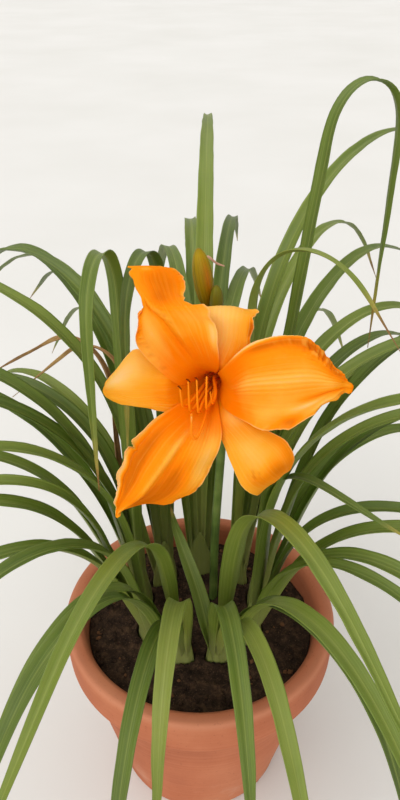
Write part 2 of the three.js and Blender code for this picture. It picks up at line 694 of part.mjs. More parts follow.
const FLOWER_FOOT = bloomPoint(THROAT_FOOT);
const FLOWER_AXIS = bloomPoint(THROAT_DIRECTION).sub(BLOOM_CENTRE).normalize();
const FLOWER_RIGHT = BLOOM_RIGHT.clone().projectOnPlane(FLOWER_AXIS).normalize();
const FLOWER_UP = FLOWER_AXIS.clone().cross(FLOWER_RIGHT);

const fans = makeFans();
makePot();
makeSoil([
  ...fans.map(({ x, y }) => ({ x, y, radius: FAN_HOLE_RADIUS })),
  ...WITHERED_LEAVES.map(({ x, y }) => ({ x, y, radius: WITHERED_HOLE_RADIUS })),
  { x: SCAPE_FOOT.x, y: SCAPE_FOOT.y, radius: SCAPE_HOLE_RADIUS },
]);
makeWitheredLeaves();
makeScape();
makeBuds();
makeTepals();
makeTube();
makeStamens();
makePistil();

export default group;
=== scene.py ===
# A daylily plant in flower in a clay pot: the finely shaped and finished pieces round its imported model.
# Shapes are worked out in millimetres and written in metres. +Z is up and the bloom looks towards -Y.
import math

import bpy
import numpy as np
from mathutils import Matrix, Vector


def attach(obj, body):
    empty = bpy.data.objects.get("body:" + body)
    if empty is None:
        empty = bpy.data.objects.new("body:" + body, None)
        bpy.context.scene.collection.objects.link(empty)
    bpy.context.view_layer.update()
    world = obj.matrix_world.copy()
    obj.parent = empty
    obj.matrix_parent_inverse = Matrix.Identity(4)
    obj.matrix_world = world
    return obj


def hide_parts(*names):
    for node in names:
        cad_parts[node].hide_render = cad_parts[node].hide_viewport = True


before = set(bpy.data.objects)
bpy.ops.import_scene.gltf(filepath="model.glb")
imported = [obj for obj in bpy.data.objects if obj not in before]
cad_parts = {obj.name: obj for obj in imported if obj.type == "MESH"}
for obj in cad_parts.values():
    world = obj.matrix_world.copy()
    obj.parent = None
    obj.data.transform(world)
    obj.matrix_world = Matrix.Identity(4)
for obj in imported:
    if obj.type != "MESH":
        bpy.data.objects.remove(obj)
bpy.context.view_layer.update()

MM = 0.001
GAP = 0.3

# Camera: it faces the open bloom squarely, from above and in front.
BLOOM_CENTRE = np.array([0.0, -80.0, 460.0])
BLOOM_TILT = math.radians(33)
BLOOM_RIGHT = np.array([1.0, 0.0, 0.0])
BLOOM_UP = np.array([0.0, math.sin(BLOOM_TILT), math.cos(BLOOM_TILT)])
BLOOM_NEAR = np.array([0.0, -math.cos(BLOOM_TILT), math.sin(BLOOM_TILT)])
CAMERA_DISTANCE = 440.0
CAMERA_LENS = 33.0
CAMERA_SENSOR = 36.0

# Light: each sun's strength, softness in degrees and the place that it shines from.
SUNS = {
    "key": (1.0, 40, (-0.8, -0.6, 1.4)),
    "front": (1.25, 50, (-0.12, -1.0, 0.5)),
    "back": (0.8, 60, (-0.3, 0.7, 1.4)),
}
SKY_COLOUR = (1.0, 0.99, 0.97, 1.0)
SKY_STRENGTH = 0.63
FLOOR_REACH = 30
FLOOR_SIDES = 96

# Pot and soil.
POT_HEIGHT = 190
POT_BASE_RADIUS = 78
POT_BODY_TOP_RADIUS = 110
POT_CENTRE_RADIUS = 38
RIM_RADIUS = 119
RIM_HEIGHT = 36
POT_WALL = 7
POT_FLOOR = 9
POT_SIDES = 144
POT_STEP = 7
CORNER_REACH = 2.2
DRAIN_RADIUS = 6
DRAIN_RING = 44
DRAIN_COUNT = 3
DRAIN_AZIMUTH = 90
SOIL_EDGE_HEIGHT = 170
SOIL_CROWN_HEIGHT = 176
SOIL_SIDES = 300
SOIL_RINGS = 96
HOLE_FLOOR = 138
SCAPE_HOLE_RADIUS = 4.4
WITHERED_HOLE_RADIUS = 4.6
FAN_HOLE_ROOM = 1.2
CRUMB_SEED = 5
CRUMB_COUNT = 620

# Crown.
FAN_RING = 52
FAN_RING_SHIFT = 8
SHEATH_HALF_WIDTH = 13.4
SHEATH_HALF_DEPTH = 7.5
SHEATH_HEIGHT = 84
SHEATH_PROFILE = [(0.8, 0), (0.95, 6), (1, 34), (0.82, 52), (0.45, 72), (0.08, SHEATH_HEIGHT)]
LEAF_START_HEIGHT = 171
FOOT_OUT = 2
FOOT_SPREAD = 8
SCAPE_FOOT = (12, 24, HOLE_FLOOR + GAP)

# Leaves. A leaf is folded up along its midrib by its keel angle, most at its foot, and tapers to its tip.
LEAF_SEED = 20
LEAF_STEPS = 140
LEAF_STRIDE = 2
SHARP_BEND = 0.45
LEAF_COLUMNS = 13
LEAF_THICKNESS = 0.9
FOOT_WIDTH_SHARE = 0.72
FOOT_WIDTH_REACH = 0.3
TAPER_POWER = 2.6
TAPER_ROUNDING = 0.85
TIP_HALF_WIDTH = 0.45
FOOT_KEEL = 64
FOOT_KEEL_REACH = 0.34
TIP_KEEL_LOSS = 6

# Each fan's azimuth, number of leaves, length and lift.
FAN_PLANS = [
    (10, 6, 560, 84), (50, 6, 600, 84), (90, 6, 620, 85), (130, 6, 600, 84), (170, 6, 560, 84),
    (210, 5, 470, 80), (250, 5, 400, 76), (290, 5, 400, 76), (330, 5, 470, 80),
]
LEAF_KEYS = ("fan", "along", "heading", "lift", "droop", "length", "swing", "bend_from", "bend_to")
HANGING_LEAVES = [dict(zip(LEAF_KEYS, row), width=16, keel=24, twist=0) for row in [
    (5, 8, 248, 89, 175, 545, 28, 0.56, 0.82),
    (4, -7, 257, 89, 174, 520, -8, 0.56, 0.81),
    (2, -3, 313, 89, 138, 462, 13, 0.6, 0.93),
    (2, -9, 34, 82, 172, 690, -15, 0.58, 0.75),
    (9, 8, 304, 88, 91, 300, 14, 0.45, 0.82),
    (8, -8, 120, 74, 60, 150, -20, 0.07, 0.85),
]]
WITHERED_SHAPE = dict(lift=89, width=9, keel=38, twist=40, swing=0)
WITHERED_LEAVES = [
    dict(x=-69, y=50, heading=147, droop=124, length=450, bend_from=0.52, bend_to=0.74),
    dict(x=-57, y=41, heading=156, droop=132, length=410, bend_from=0.6, bend_to=0.8),
]

# Flower stalk, buds and bract. A bud's profile holds distances along it and radii.
SCAPE_PATH = [SCAPE_FOOT, (13, 22, 250), (17, 19, 350), (19, 18, 404)]
SCAPE_RADII = [3.8, 3.7, 3.5, 3.3]
NECK_PATH = [(18.5, 18.5, 390), (20, 17, 412)]
NECK_RADII = [2.6, 2.4, 2.4, 2.6]
PEDICEL_LENGTH = 8
BUD_BRANCH = [(18, 18.5, 372), (15, 20, 405), (9, 13, 440), (5, 5, 466)]
BUD_BRANCH_RADII = [2.0, 1.8, 1.7, 2.1]
SMALL_BRANCH = [(9.5, 13, 438), (11, 0, 460)]
SMALL_BRANCH_RADII = [1.5, 1.3, 1.3, 1.5]
BRANCH_END = 4
BIG_BUD = dict(
    base=(4.8, 7, 480), direction=(-0.152, 0.22, 0.96),
    profile=[(0, 2.2), (3, 4), (8, 5.6), (15, 6.4), (23, 6.4), (30, 5.5), (35.5, 3.9), (39, 1.9), (40, 0.7)],
)
SMALL_BUD = dict(
    base=(11, -1, 474), direction=(0, 0.16, 0.98),
    profile=[(0, 1.6), (3, 3.2), (9, 4.3), (15, 4.3), (20, 3.3), (23, 1.7), (24, 0.6)],
)
BUD_SIDES = 90
BUD_STEPS = 70
BUD_SWIRL = 26
BUD_RIBS = 18
BRACT_PATH = [
    (9, 14.9, 445), (4, 22, 475), (2, 25, 499), (5.2, 25, 508.4), (10.9, 20, 506.3), (16.3, 15, 505.9),
]
BRACT_HALF_WIDTHS = [1.2, 3, 3.4, 3, 2.4, 1.8, 1.4, 1.2, 1, 0.6]
BRACT_THICKNESS = 0.7

# Flower: its own axis leads from the top of the tube out through the throat. The throat and the tube hold
# distances along it and radii.
THROAT_FOOT = (10, 15, -55)
THROAT_DIRECTION = (-0.2, -0.22, 0.935)
THROAT = [(0, 5), (20, 9), (40, 18)]
LAYER_STEP = 2.4
TUBE_LENGTH = 27
TUBE_PROFILE = [(-TUBE_LENGTH, 2.6), (-22, 3.6), (-16, 3.6), (-10, 3.3), (-5, 4.8), (-GAP, 7.6)]
TUBE_SIDES = 60

# Stamens and pistil: angle in the throat, points of the bloom and the way the anther lies.
STAMENS = [
    (195, [(-3, 2, -26), (-10, -4, -12), (-12, 7, 6)], (4, -5, 0)),
    (232, [(-1, -1, -26), (-6, -6, -12), (-7, 11, 6)], (4, -5, 1)),
    (270, [(2, -1, -25), (-1, -7, -12), (-2, 12, 5)], (2, -1, 3)),
    (0, [(8, 2, -27), (4, -5, -12), (4, 14, 4)], (2, 0, 3)),
    (50, [(10, 5, -26), (8, -2, -14), (6, 5, 2)], (3, 4, 0)),
    (120, [(4, 11, -28), (5, 12, -20)], (4, 2, 0)),
]
FILAMENT_RADII = [1.1, 1.1, 1.0, 0.85, 0.45]
ANTHER_RADIUS = 0.65
ANTHER_HALF_LENGTH = 1.9
PISTIL_POINTS = [(5, -5, -20), (2, -14, -6), (-2, -23, 2), (-5, -20, 6), (-5, -14, 8), (-5, -9, 9)]
STYLE_RADII = [0.95, 0.9, 0.8, 0.72, 0.65, 0.6, 0.55]
STIGMA_PLACES = [-0.9, -0.3, 0.3, 0.7, 0.9]
STIGMA_RADII = [0.45, 0.7, 0.85, 0.75, 0.3]

# Tepals: the rows run from the throat to the tip, and each holds the clockwise margin, the midrib and the
# other margin as (right, up, near) of the bloom. Places on a tepal are u, from 0 at the tube to 1 at the tip,
# and v, from -1 at the clockwise margin to 1 at the other.
#   crimps   (margin, from, to, size, waves, shares of the half width at from and to, share at the very edge)
#   rolls    (margin, from, to, degrees, share of the half width), towards the viewer where positive
#   ridges   (half width in v, height, places), a valley where the height is negative
#   ribs     (number, v in the middle of them, spread in v, height)
#   blisters (u, v, spread in u, spread in v, size)
#   nicks    (margin, u, width in u, depth, shift to the tip), a lobe where the depth is negative
#   painted shading and tone (u, v, spread in u, spread in v, amount), lighter above 0 and deeper below:
#   mostly painted highlight on crests and rims and painted shade on folds, valleys, cups and flanks that face
#   away from the light, partly the tepal's own paler and deeper orange
TEPAL_THICKNESS = 0.8
PETAL_GRID = (240, 104)
SEPAL_GRID = (130, 70)
EDGE_CROWDING = 1.35
FOLD_SOFTNESS = 0.003
TEPALS = [
    dict(
        name="petal_upper_left", inner=True, angle=112, wrap=56, fold=0.3, ruffle=1.4, waves=5,
        rows=[
            [(11, 30, 6), (-17, 38, 1), (-37, 31, -3)],
            [(8, 45, 13), (-25, 50, 7), (-37, 45, 4)],
            [(-5.5, 56, 10), (-27.5, 59, 9), (-32.8, 57.5, 8)],
            [(-8.5, 69, -2), (-33, 70.3, 8), (-39.2, 68.7, 6)],
            [(-17, 80.5, -3), (-34.5, 78, 5), (-40.6, 77, 4)],
            [(-42, 79.8, 3), (-43, 79.3, 4), (-42.8, 78.8, 4)],
        ],
        crimps=[(1, 0.26, 0.66, 0.55, 19, (0.34, 0.34), 0.35), (-1, 0.62, 0.97, 0.45, 15, (0.2, 0.2), 0.8),
                (-1, 0.46, 0.6, 0.5, 4, (0.2, 0.2), 0.9)],
        rolls=[(1, 0.3, 0.64, 40, 0.16), (-1, 0.62, 0.86, 55, 0.14)],
        ridges=[(0.07, -1.05, [(0.24, -0.13), (0.45, -0.05), (0.5, 0.03), (0.55, 0.21), (0.6, 0.5),
                               (0.66, 0.85)]),
                (0.1, 0.8, [(0.26, -0.35), (0.45, -0.26), (0.5, -0.18), (0.55, 0.0), (0.6, 0.28),
                            (0.68, 0.6)])],
        ribs=(8, -0.5, 0.4, 0.05),
        blisters=[(0.5, -0.18, 0.08, 0.14, 0.3), (0.42, 0.02, 0.1, 0.09, 0.25), (0.57, 0.1, 0.05, 0.3, 0.25)],
        nicks=[(-1, 0.565, 0.03, -0.13, 3.6), (-1, 0.58, 0.011, 0, 1.5), (-1, 0.591, 0.009, 0.02, -3.0),
               (-1, 0.645, 0.013, 0.09, -0.6), (-1, 0.68, 0.03, 0.06, 0), (-1, 0.78, 0.01, 0.03, 0),
               (-1, 0.86, 0.008, 0.02, 0.5), (-1, 0.945, 0.02, 0, -1), (1, 0.675, 0.04, 0.12, 0),
               (1, 0.86, 0.035, 0.05, 0)],
        shades=[(0.76, -0.5, 0.12, 0.6, -1.9), (0.86, -0.15, 0.03, 0.25, 1.4), (0.41, 0.45, 0.12, 0.26, 1.4),
                (0.44, -0.93, 0.07, 0.07, 2.2), (0.52, -0.65, 0.06, 0.3, 0.6), (0.3, -0.2, 0.08, 0.6, -0.9),
                (0.5, 0.88, 0.1, 0.16, -0.9), (0.7, -0.95, 0.05, 0.08, 1.4), (0.965, -0.96, 0.035, 0.13, 4.0),
                (0.34, 0.9, 0.06, 0.2, 1.2), (0.64, -0.25, 0.05, 0.35, -1.6), (0.49, 0.72, 0.05, 0.14, -0.6)],
        jag=0.012,
    ),
    dict(
        name="petal_right", inner=True, angle=6, wrap=44, fold=0.1, ruffle=1.8, waves=5,
        rows=[
            [(29, -14, 3), (30, 9, 6), (27, 32, 12)],
            [(41, -18, 10), (48, 10, 17), (45, 37, 18)],
            [(59, -12, 14), (64, 11, 20), (62, 36, 16)],
            [(73, -1, 16), (76, 10, 20), (76, 24, 14)],
            [(83, 3, 15), (84, 9, 17), (84, 13, 14)],
            [(87.5, 4.5, 15), (88.5, 7, 17), (88, 9.5, 15)],
        ],
        crimps=[(1, 0.4, 0.72, 0.4, 14, (0.2, 0.5), 0.15), (1, 0.57, 0.985, 1.0, 19, (0.34, 1.0), 0.3),
                (-1, 0.38, 0.62, 0.8, 4, (0.24, 0.24), 1), (-1, 0.6, 0.98, 0.4, 9, (0.2, 0.2), 0.6)],
        rolls=[(1, 0.24, 0.99, -60, 0.12), (-1, 0.58, 0.99, 105, 0.46)],
        ridges=[(0.28, 0.9, [(0.26, -0.05), (0.49, 0.05), (0.61, 0.16), (0.75, 0.13), (0.97, 0.05)]),
                (0.1, -0.9, [(0.56, -0.47), (0.77, -0.46), (0.97, -0.3)]),
                (0.06, 0.9, [(0.6, -0.95), (0.66, -0.8), (0.76, -0.74), (0.85, -0.46), (0.97, -0.2)]),
                (0.06, 0.5, [(0.24, 0.93), (0.52, 0.93)])],
        ribs=(9, 0.06, 0.26, 0.2),
        blisters=[(0.62, 0.62, 0.12, 0.25, 0.3)],
        nicks=[(-1, 0.585, 0.02, -0.07, 0), (-1, 0.64, 0.025, 0.07, 0), (1, 0.755, 0.02, -0.2, 0),
               (1, 0.85, 0.02, 0.2, 0), (1, 0.56, 0.06, -0.055, 0)],
        shades=[(0.5, -0.5, 0.12, 0.3, 0.8), (0.5, 0.06, 0.24, 0.12, 0.8), (0.52, 0.86, 0.13, 0.1, -2.0),
                (0.66, 0.78, 0.1, 0.15, -2.4), (0.8, 0.5, 0.09, 0.4, -2.4), (0.72, -0.42, 0.12, 0.07, -1.3),
                (0.72, -0.78, 0.14, 0.12, 1.0), (0.99, 0.0, 0.025, 1.5, -1.8), (0.38, 0.97, 0.07, 0.05, 3.4),
                (0.42, 0.82, 0.06, 0.1, -1.6), (0.57, -0.86, 0.035, 0.1, -2.6), (0.5, 0.99, 0.12, 0.03, 3.0),
                (0.63, -0.6, 0.08, 0.08, 2.0), (0.45, -0.68, 0.05, 0.15, 0.7), (0.74, -0.1, 0.06, 0.15, 0.8)],
        jag=0.01,
    ),
    dict(
        name="petal_lower_left", inner=True, angle=258, wrap=48, fold=0.6, ruffle=1.4, waves=6,
        rows=[
            [(-30, -13, -10), (-15, -27, -6), (13, -25, -6)],
            [(-43, -27, -12), (-27, -46, -6), (4, -47, -13)],
            [(-48, -41, -15), (-35, -58, -9), (-10, -62, -20)],
            [(-52, -56, -19), (-43, -64.5, -15), (-28, -65, -24)],
            [(-53, -67, -20), (-50.3, -69.7, -20), (-47.5, -67.8, -23)],
            [(-53, -73, -20), (-52, -74, -20), (-50, -73, -20)],
        ],
        crimps=[(-1, 0.42, 0.98, 0.6, 15, (0.14, 0.14), 1), (1, 0.4, 0.95, 0.5, 13, (0.12, 0.12), 1)],
        rolls=[(-1, 0.3, 0.97, 80, 0.18), (1, 0.5, 0.95, -40, 0.12)],
        ridges=[(0.24, -1.3, [(0.3, -0.7), (0.53, -0.55), (0.95, -0.6)]),
                (0.06, 1.3, [(0.3, 0.11), (0.41, 0.06), (0.51, 0.0), (0.6, -0.03), (0.97, -0.05)]),
                (0.09, -1.2, [(0.32, 0.28), (0.41, 0.22), (0.51, 0.16), (0.6, 0.13), (0.8, 0.15)]),
                (0.24, -1.2, [(0.4, 0.42), (0.51, 0.36), (0.6, 0.32), (0.82, 0.32)]),
                (0.05, -1.0, [(0.34, -0.8), (0.94, -0.78)])],
        ribs=(12, 0.45, 0.36, 0.11),
        blisters=[],
        nicks=[(-1, 0.487, 0.008, 0.12, 0), (1, 0.65, 0.035, -0.08, 0), (1, 0.81, 0.03, 0, -1.8)],
        shades=[(0.58, -0.58, 0.32, 0.22, -2.4), (0.72, -0.97, 0.24, 0.09, 3.8),
                (0.64, -0.79, 0.16, 0.05, -1.6), (0.36, 0.03, 0.08, 0.09, 0.6), (0.56, 0.5, 0.07, 0.18, -1.6),
                (0.65, 0.3, 0.11, 0.22, -2.8), (0.5, 0.36, 0.1, 0.16, -1.1), (0.7, -0.05, 0.07, 0.1, -0.9),
                (0.75, -0.7, 0.1, 0.16, 0.7), (0.74, 0.5, 0.08, 0.5, -1.8), (0.44, 0.82, 0.1, 0.16, 1.5),
                (0.36, 0.4, 0.07, 0.3, 0.6), (0.38, -0.97, 0.08, 0.06, 1.4)],
        jag=0.014,
    ),
    dict(
        name="sepal_left", inner=False, angle=178, wrap=50, fold=0, ruffle=0.3, waves=3,
        rows=[
            [(-24, 22, -22), (-28, 7, -18), (-25, -7, -18)],
            [(-39.5, 32, -17), (-42, 7, -17), (-38, -5, -20)],
            [(-52, 19, -17), (-52, 7, -17), (-50, -3, -20)],
            [(-58, 13, -19), (-58, 6, -19), (-57, 0, -21)],
            [(-60, 8, -20), (-61, 6, -20), (-60, 3, -20)],
        ],
        crimps=[(1, 0.5, 0.85, 0.3, 3, (0.2, 0.2), 1)],
        rolls=[(1, 0.4, 0.9, -40, 0.2)],
        ridges=[],
        ribs=(9, 0.45, 0.36, 0.12),
        blisters=[],
        nicks=[],
        shades=[(0.7, -0.5, 0.16, 0.4, 2.6), (0.4, 0.2, 0.12, 0.8, -1.0)],
        jag=0.005,
    ),
    dict(
        name="sepal_top", inner=False, angle=64, wrap=50, fold=0, ruffle=0.5, waves=4,
        rows=[
            [(30, 30, -3), (16, 36, -3), (3, 39, -3)],
            [(32, 46, 0), (17, 49, 1), (0, 51, -2)],
            [(35, 53.5, -8), (18, 56, -6), (1, 57, -9)],
            [(32, 55, -18), (19, 57, -18), (5, 56, -19)],
            [(27, 53, -27), (20, 53, -27), (12, 53, -27)],
            [(21, 51, -31), (20, 50, -32), (19, 51, -31)],
        ],
        crimps=[(-1, 0.34, 0.72, 1.3, 7, (0.24, 0.24), 0.9)],
        rolls=[(-1, 0.36, 0.72, 40, 0.2)],
        ridges=[],
        ribs=(6, 0.0, 0.6, 0.08),
        blisters=[],
        nicks=[(-1, 0.42, 0.02, 0.07, 0), (-1, 0.475, 0.02, -0.07, 0), (-1, 0.53, 0.014, 0.08, 0),
               (-1, 0.62, 0.014, -0.06, 0)],
        shades=[(0.5, 0.3, 0.24, 0.6, 1.6), (0.36, -0.2, 0.07, 0.8, -0.4), (0.47, -0.9, 0.06, 0.12, -2.8)],
        jag=0.012,
    ),
    dict(
        name="sepal_lower_right", inner=False, angle=306, wrap=36, fold=0.1, ruffle=0.3, waves=3,
        rows=[
            [(12, -22, -14), (23, -23, -8), (37, -16, -8)],
            [(19, -39, -9), (33, -35, -4), (51, -24, -2)],
            [(26, -53, -10), (41, -45, -5), (57, -34, -4)],
            [(35, -59, -15), (47, -49, -13), (56, -41, -12)],
            [(39, -57, -23), (47, -50, -22), (54, -45, -21)],
            [(42, -51, -29), (45, -48, -29), (47, -46, -29)],
        ],
        crimps=[],
        rolls=[],
        ridges=[],
        ribs=(6, -0.1, 0.5, 0.05),
        blisters=[(0.6, -0.35, 0.06, 0.45, 0.35)],
        nicks=[],
        shades=[(0.48, 0.0, 0.12, 0.4, 0.7), (0.82, 0.3, 0.12, 1.0, -1.0), (0.6, 0.95, 0.16, 0.25, -1.6),
                (0.27, 0.5, 0.05, 0.4, 1.3), (0.64, 0.35, 0.07, 0.45, -2.4), (0.65, -0.4, 0.06, 0.3, -1.4)],
        jag=0.006,
    ),
]


# ---- Numbers and curves ----

def seeded(seed):
    state = seed
    while True:
        state = state * 16807 % 2147483647
        yield state / 2147483647


def smoothstep(low, high, value):
    t = np.clip((value - low) / (high - low), 0, 1)
    return t * t * (3 - 2 * t)


def window(start, end, value, blend=0.07):
    """1 between start and end, falling off to 0 at both."""
    return smoothstep(start, start + blend, value) * (1 - smoothstep(end - blend, end, value))


def hump(value, middle, width):
    """1 at the middle, falling off to nearly 0 at two widths from it."""
    return np.exp(-((value - middle) / width) ** 2)


def turned(degrees):
    return np.cos(np.radians(degrees)), np.sin(np.radians(degrees))


def around(sides, whole=2 * math.pi):
    """Even steps once round."""
    return np.linspace(0, whole, sides, endpoint=False)


def unit(vectors):
    return vectors / np.maximum(np.linalg.norm(vectors, axis=-1, keepdims=True), 1e-9)


def curve(points, u):
    """A smooth curve through points, at each u from 0 to 1."""
    points = np.asarray(points, float)
    padded = np.concatenate([[2 * points[0] - points[1]], points, [2 * points[-1] - points[-2]]])
    place = np.clip(u, 0, 1) * (len(points) - 1)
    k = np.minimum(place.astype(int), len(points) - 2)
    w = (place - k).reshape(-1, *[1] * (points.ndim - 1))
    before, start, end, after = (padded[k + n] for n in range(4))
    leave, arrive = (end - before) / 2, (after - start) / 2
    return (
        (2 * w**3 - 3 * w**2 + 1) * start + (w**3 - 2 * w**2 + w) * leave
        + (3 * w**2 - 2 * w**3) * end + (w**3 - w**2) * arrive
    )


def curve_through(places, values, u):
    """Straight runs between values, rounded where they meet."""
    reach = np.linspace(-0.03, 0.03, 7)
    return np.mean([np.interp(u + shift, places, values) for shift in reach], axis=0)


def ripple(seed, *coordinates):
    """Smooth noise from about -1 to 1, as a sum of seeded waves. A coordinate's unit is about one wave."""
    random = np.random.default_rng(seed)
    total = 0
    for _ in range(7):
        way = random.normal(size=len(coordinates))
        phase = random.uniform(0, 2 * math.pi)
        total = total + np.sin(sum(w * c for w, c in zip(way, coordinates)) * 2.6 + phase)
    return total / 3.2


def grid_normals(grid):
    return unit(np.cross(np.gradient(grid, axis=0), np.gradient(grid, axis=1)))


def bloom_point(point):
    right, up, near = (np.asarray(point, float)[..., n:n + 1] for n in range(3))
    return BLOOM_CENTRE + right * BLOOM_RIGHT + up * BLOOM_UP + near * BLOOM_NEAR


FLOWER_FOOT = bloom_point(THROAT_FOOT)
FLOWER_AXIS = unit(bloom_point(THROAT_DIRECTION) - BLOOM_CENTRE)
FLOWER_RIGHT = unit(BLOOM_RIGHT - BLOOM_RIGHT.dot(FLOWER_AXIS) * FLOWER_AXIS)
FLOWER_UP = np.cross(FLOWER_AXIS, FLOWER_RIGHT)


def flower_point(along, radius=0, angle=0):
    right, up = turned(angle)
    return FLOWER_FOOT + along * FLOWER_AXIS + radius * right * FLOWER_RIGHT + radius * up * FLOWER_UP


# ---- Meshes ----

def placed(name, data):
    """A new object of the scene."""
    item = bpy.data.objects.new(name, data)
    bpy.context.scene.collection.objects.link(item)
    return item


class Body:
    """A piece in the making: closed sheets and tubes, and the numbers that its material reads."""

    READ = ("along", "across", "tone", "relief", "shade", "inside")

    def __init__(self):
        self.points = []
        self.faces = []
        self.values = {name: [] for name in self.READ}
        self.count = 0

    def add(self, points, faces, **values):
        for name in self.READ:
            self.values[name].append(np.broadcast_to(values.get(name, 0.0), len(points)))
        self.points.append(points)
        self.faces += [tuple(i + self.count for i in face) for face in faces]
        self.count += len(points)

    def sheet(self, grid, thickness, **values):
        """A closed sheet round a grid of points. Values may differ from point to point of the grid."""
        rows, columns = grid.shape[:2]
        offset = grid_normals(grid) * (np.broadcast_to(thickness, (rows, columns)) / 2)[..., None]
        points = np.concatenate([(grid + offset).reshape(-1, 3), (grid - offset).reshape(-1, 3)])
        index = np.arange(rows * columns).reshape(rows, columns)
        under = index + rows * columns
        quads = [
            (index[:-1, :-1], index[1:, :-1], index[1:, 1:], index[:-1, 1:]),
            (under[:-1, :-1], under[:-1, 1:], under[1:, 1:], under[1:, :-1]),
            (index[1:, 0], index[:-1, 0], under[:-1, 0], under[1:, 0]),
            (index[:-1, -1], index[1:, -1], under[1:, -1], under[:-1, -1]),
            (index[0, :-1], index[0, 1:], under[0, 1:], under[0, :-1]),
            (index[-1, 1:], index[-1, :-1], under[-1, :-1], under[-1, 1:]),
        ]
        faces = np.concatenate([np.stack([q.ravel() for q in quad], -1) for quad in quads])
        spread = {n: np.tile(np.broadcast_to(v, (rows, columns)).ravel(), 2) for n, v in values.items()}
        spread["inside"] = np.repeat([1.0, 0.0], rows * columns)
        self.add(points, faces.tolist(), **spread)

    def rings(self, rings, **values):
        """A closed body through rings of points, which run anticlockwise as seen from the last ring."""
        count, sides = rings.shape[:2]
        points = np.concatenate([rings.reshape(-1, 3), [rings[0].mean(0)], [rings[-1].mean(0)]])
        index = np.arange(count * sides).reshape(count, sides)
        ahead = np.roll(index, -1, axis=1)
        faces = np.stack([index[:-1], ahead[:-1], ahead[1:], index[1:]], -1).reshape(-1, 4).tolist()
        foot, head = count * sides, count * sides + 1
        faces += [(foot, b, a) for a, b in zip(index[0], ahead[0])]
        faces += [(head, a, b) for a, b in zip(index[-1], ahead[-1])]
        spread = {}
        for name, value in values.items():
            full = np.broadcast_to(value, (count, sides)).astype(float)
            spread[name] = np.concatenate([full.ravel(), [full[0].mean(), full[-1].mean()]])
        self.add(points, faces, **spread)

    def tube(self, points, radii, sides, steps, **values):
        """A round stem along a smooth curve, its radius read at even steps from radii."""
        u = np.linspace(0, 1, steps + 1)
        centre = curve(points, u)
        tangent = unit(np.gradient(centre, axis=0))
        side = np.cross(tangent[0], [0.3, 0.2, 0.93] if abs(tangent[0][2]) < 0.9 else [1.0, 0.1, 0])
        across = []
        for t in tangent:
            side = unit(side - side.dot(t) * t)
            across.append(side)
        across = np.array(across)
        over = np.cross(tangent, across)
        radius = np.interp(u, np.linspace(0, 1, len(radii)), radii)[:, None, None]
        angle = around(sides)[None, :, None]
        rings = centre[:, None] + radius * (np.cos(angle) * across[:, None] + np.sin(angle) * over[:, None])
        self.rings(rings, along=u[:, None], across=angle[..., 0] / (2 * math.pi), **values)

    def mesh(self, name):
        mesh = bpy.data.meshes.new(name)
        mesh.from_pydata((np.concatenate(self.points) * MM).tolist(), [], self.faces)
        return mesh

    def build(self, name, material, node):
        mesh = self.mesh(name)
        for read in self.READ:
            layer = mesh.attributes.new(read, "FLOAT", "POINT")
            layer.data.foreach_set("value", np.concatenate(self.values[read]).astype(np.float32))
        mesh.shade_smooth()
        mesh.materials.append(material)
        piece = placed(name, mesh)
        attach(piece, "root")
        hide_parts(node)
        return piece


# ---- Materials ----

def rgb(red, green, blue):
    """A colour as the screen shows it, from 0 to 255, in Blender's own scale."""
    parts = [c / 255 for c in (red, green, blue)]
    return (*[c / 12.92 if c <= 0.04045 else ((c + 0.055) / 1.055) ** 2.4 for c in parts], 1.0)


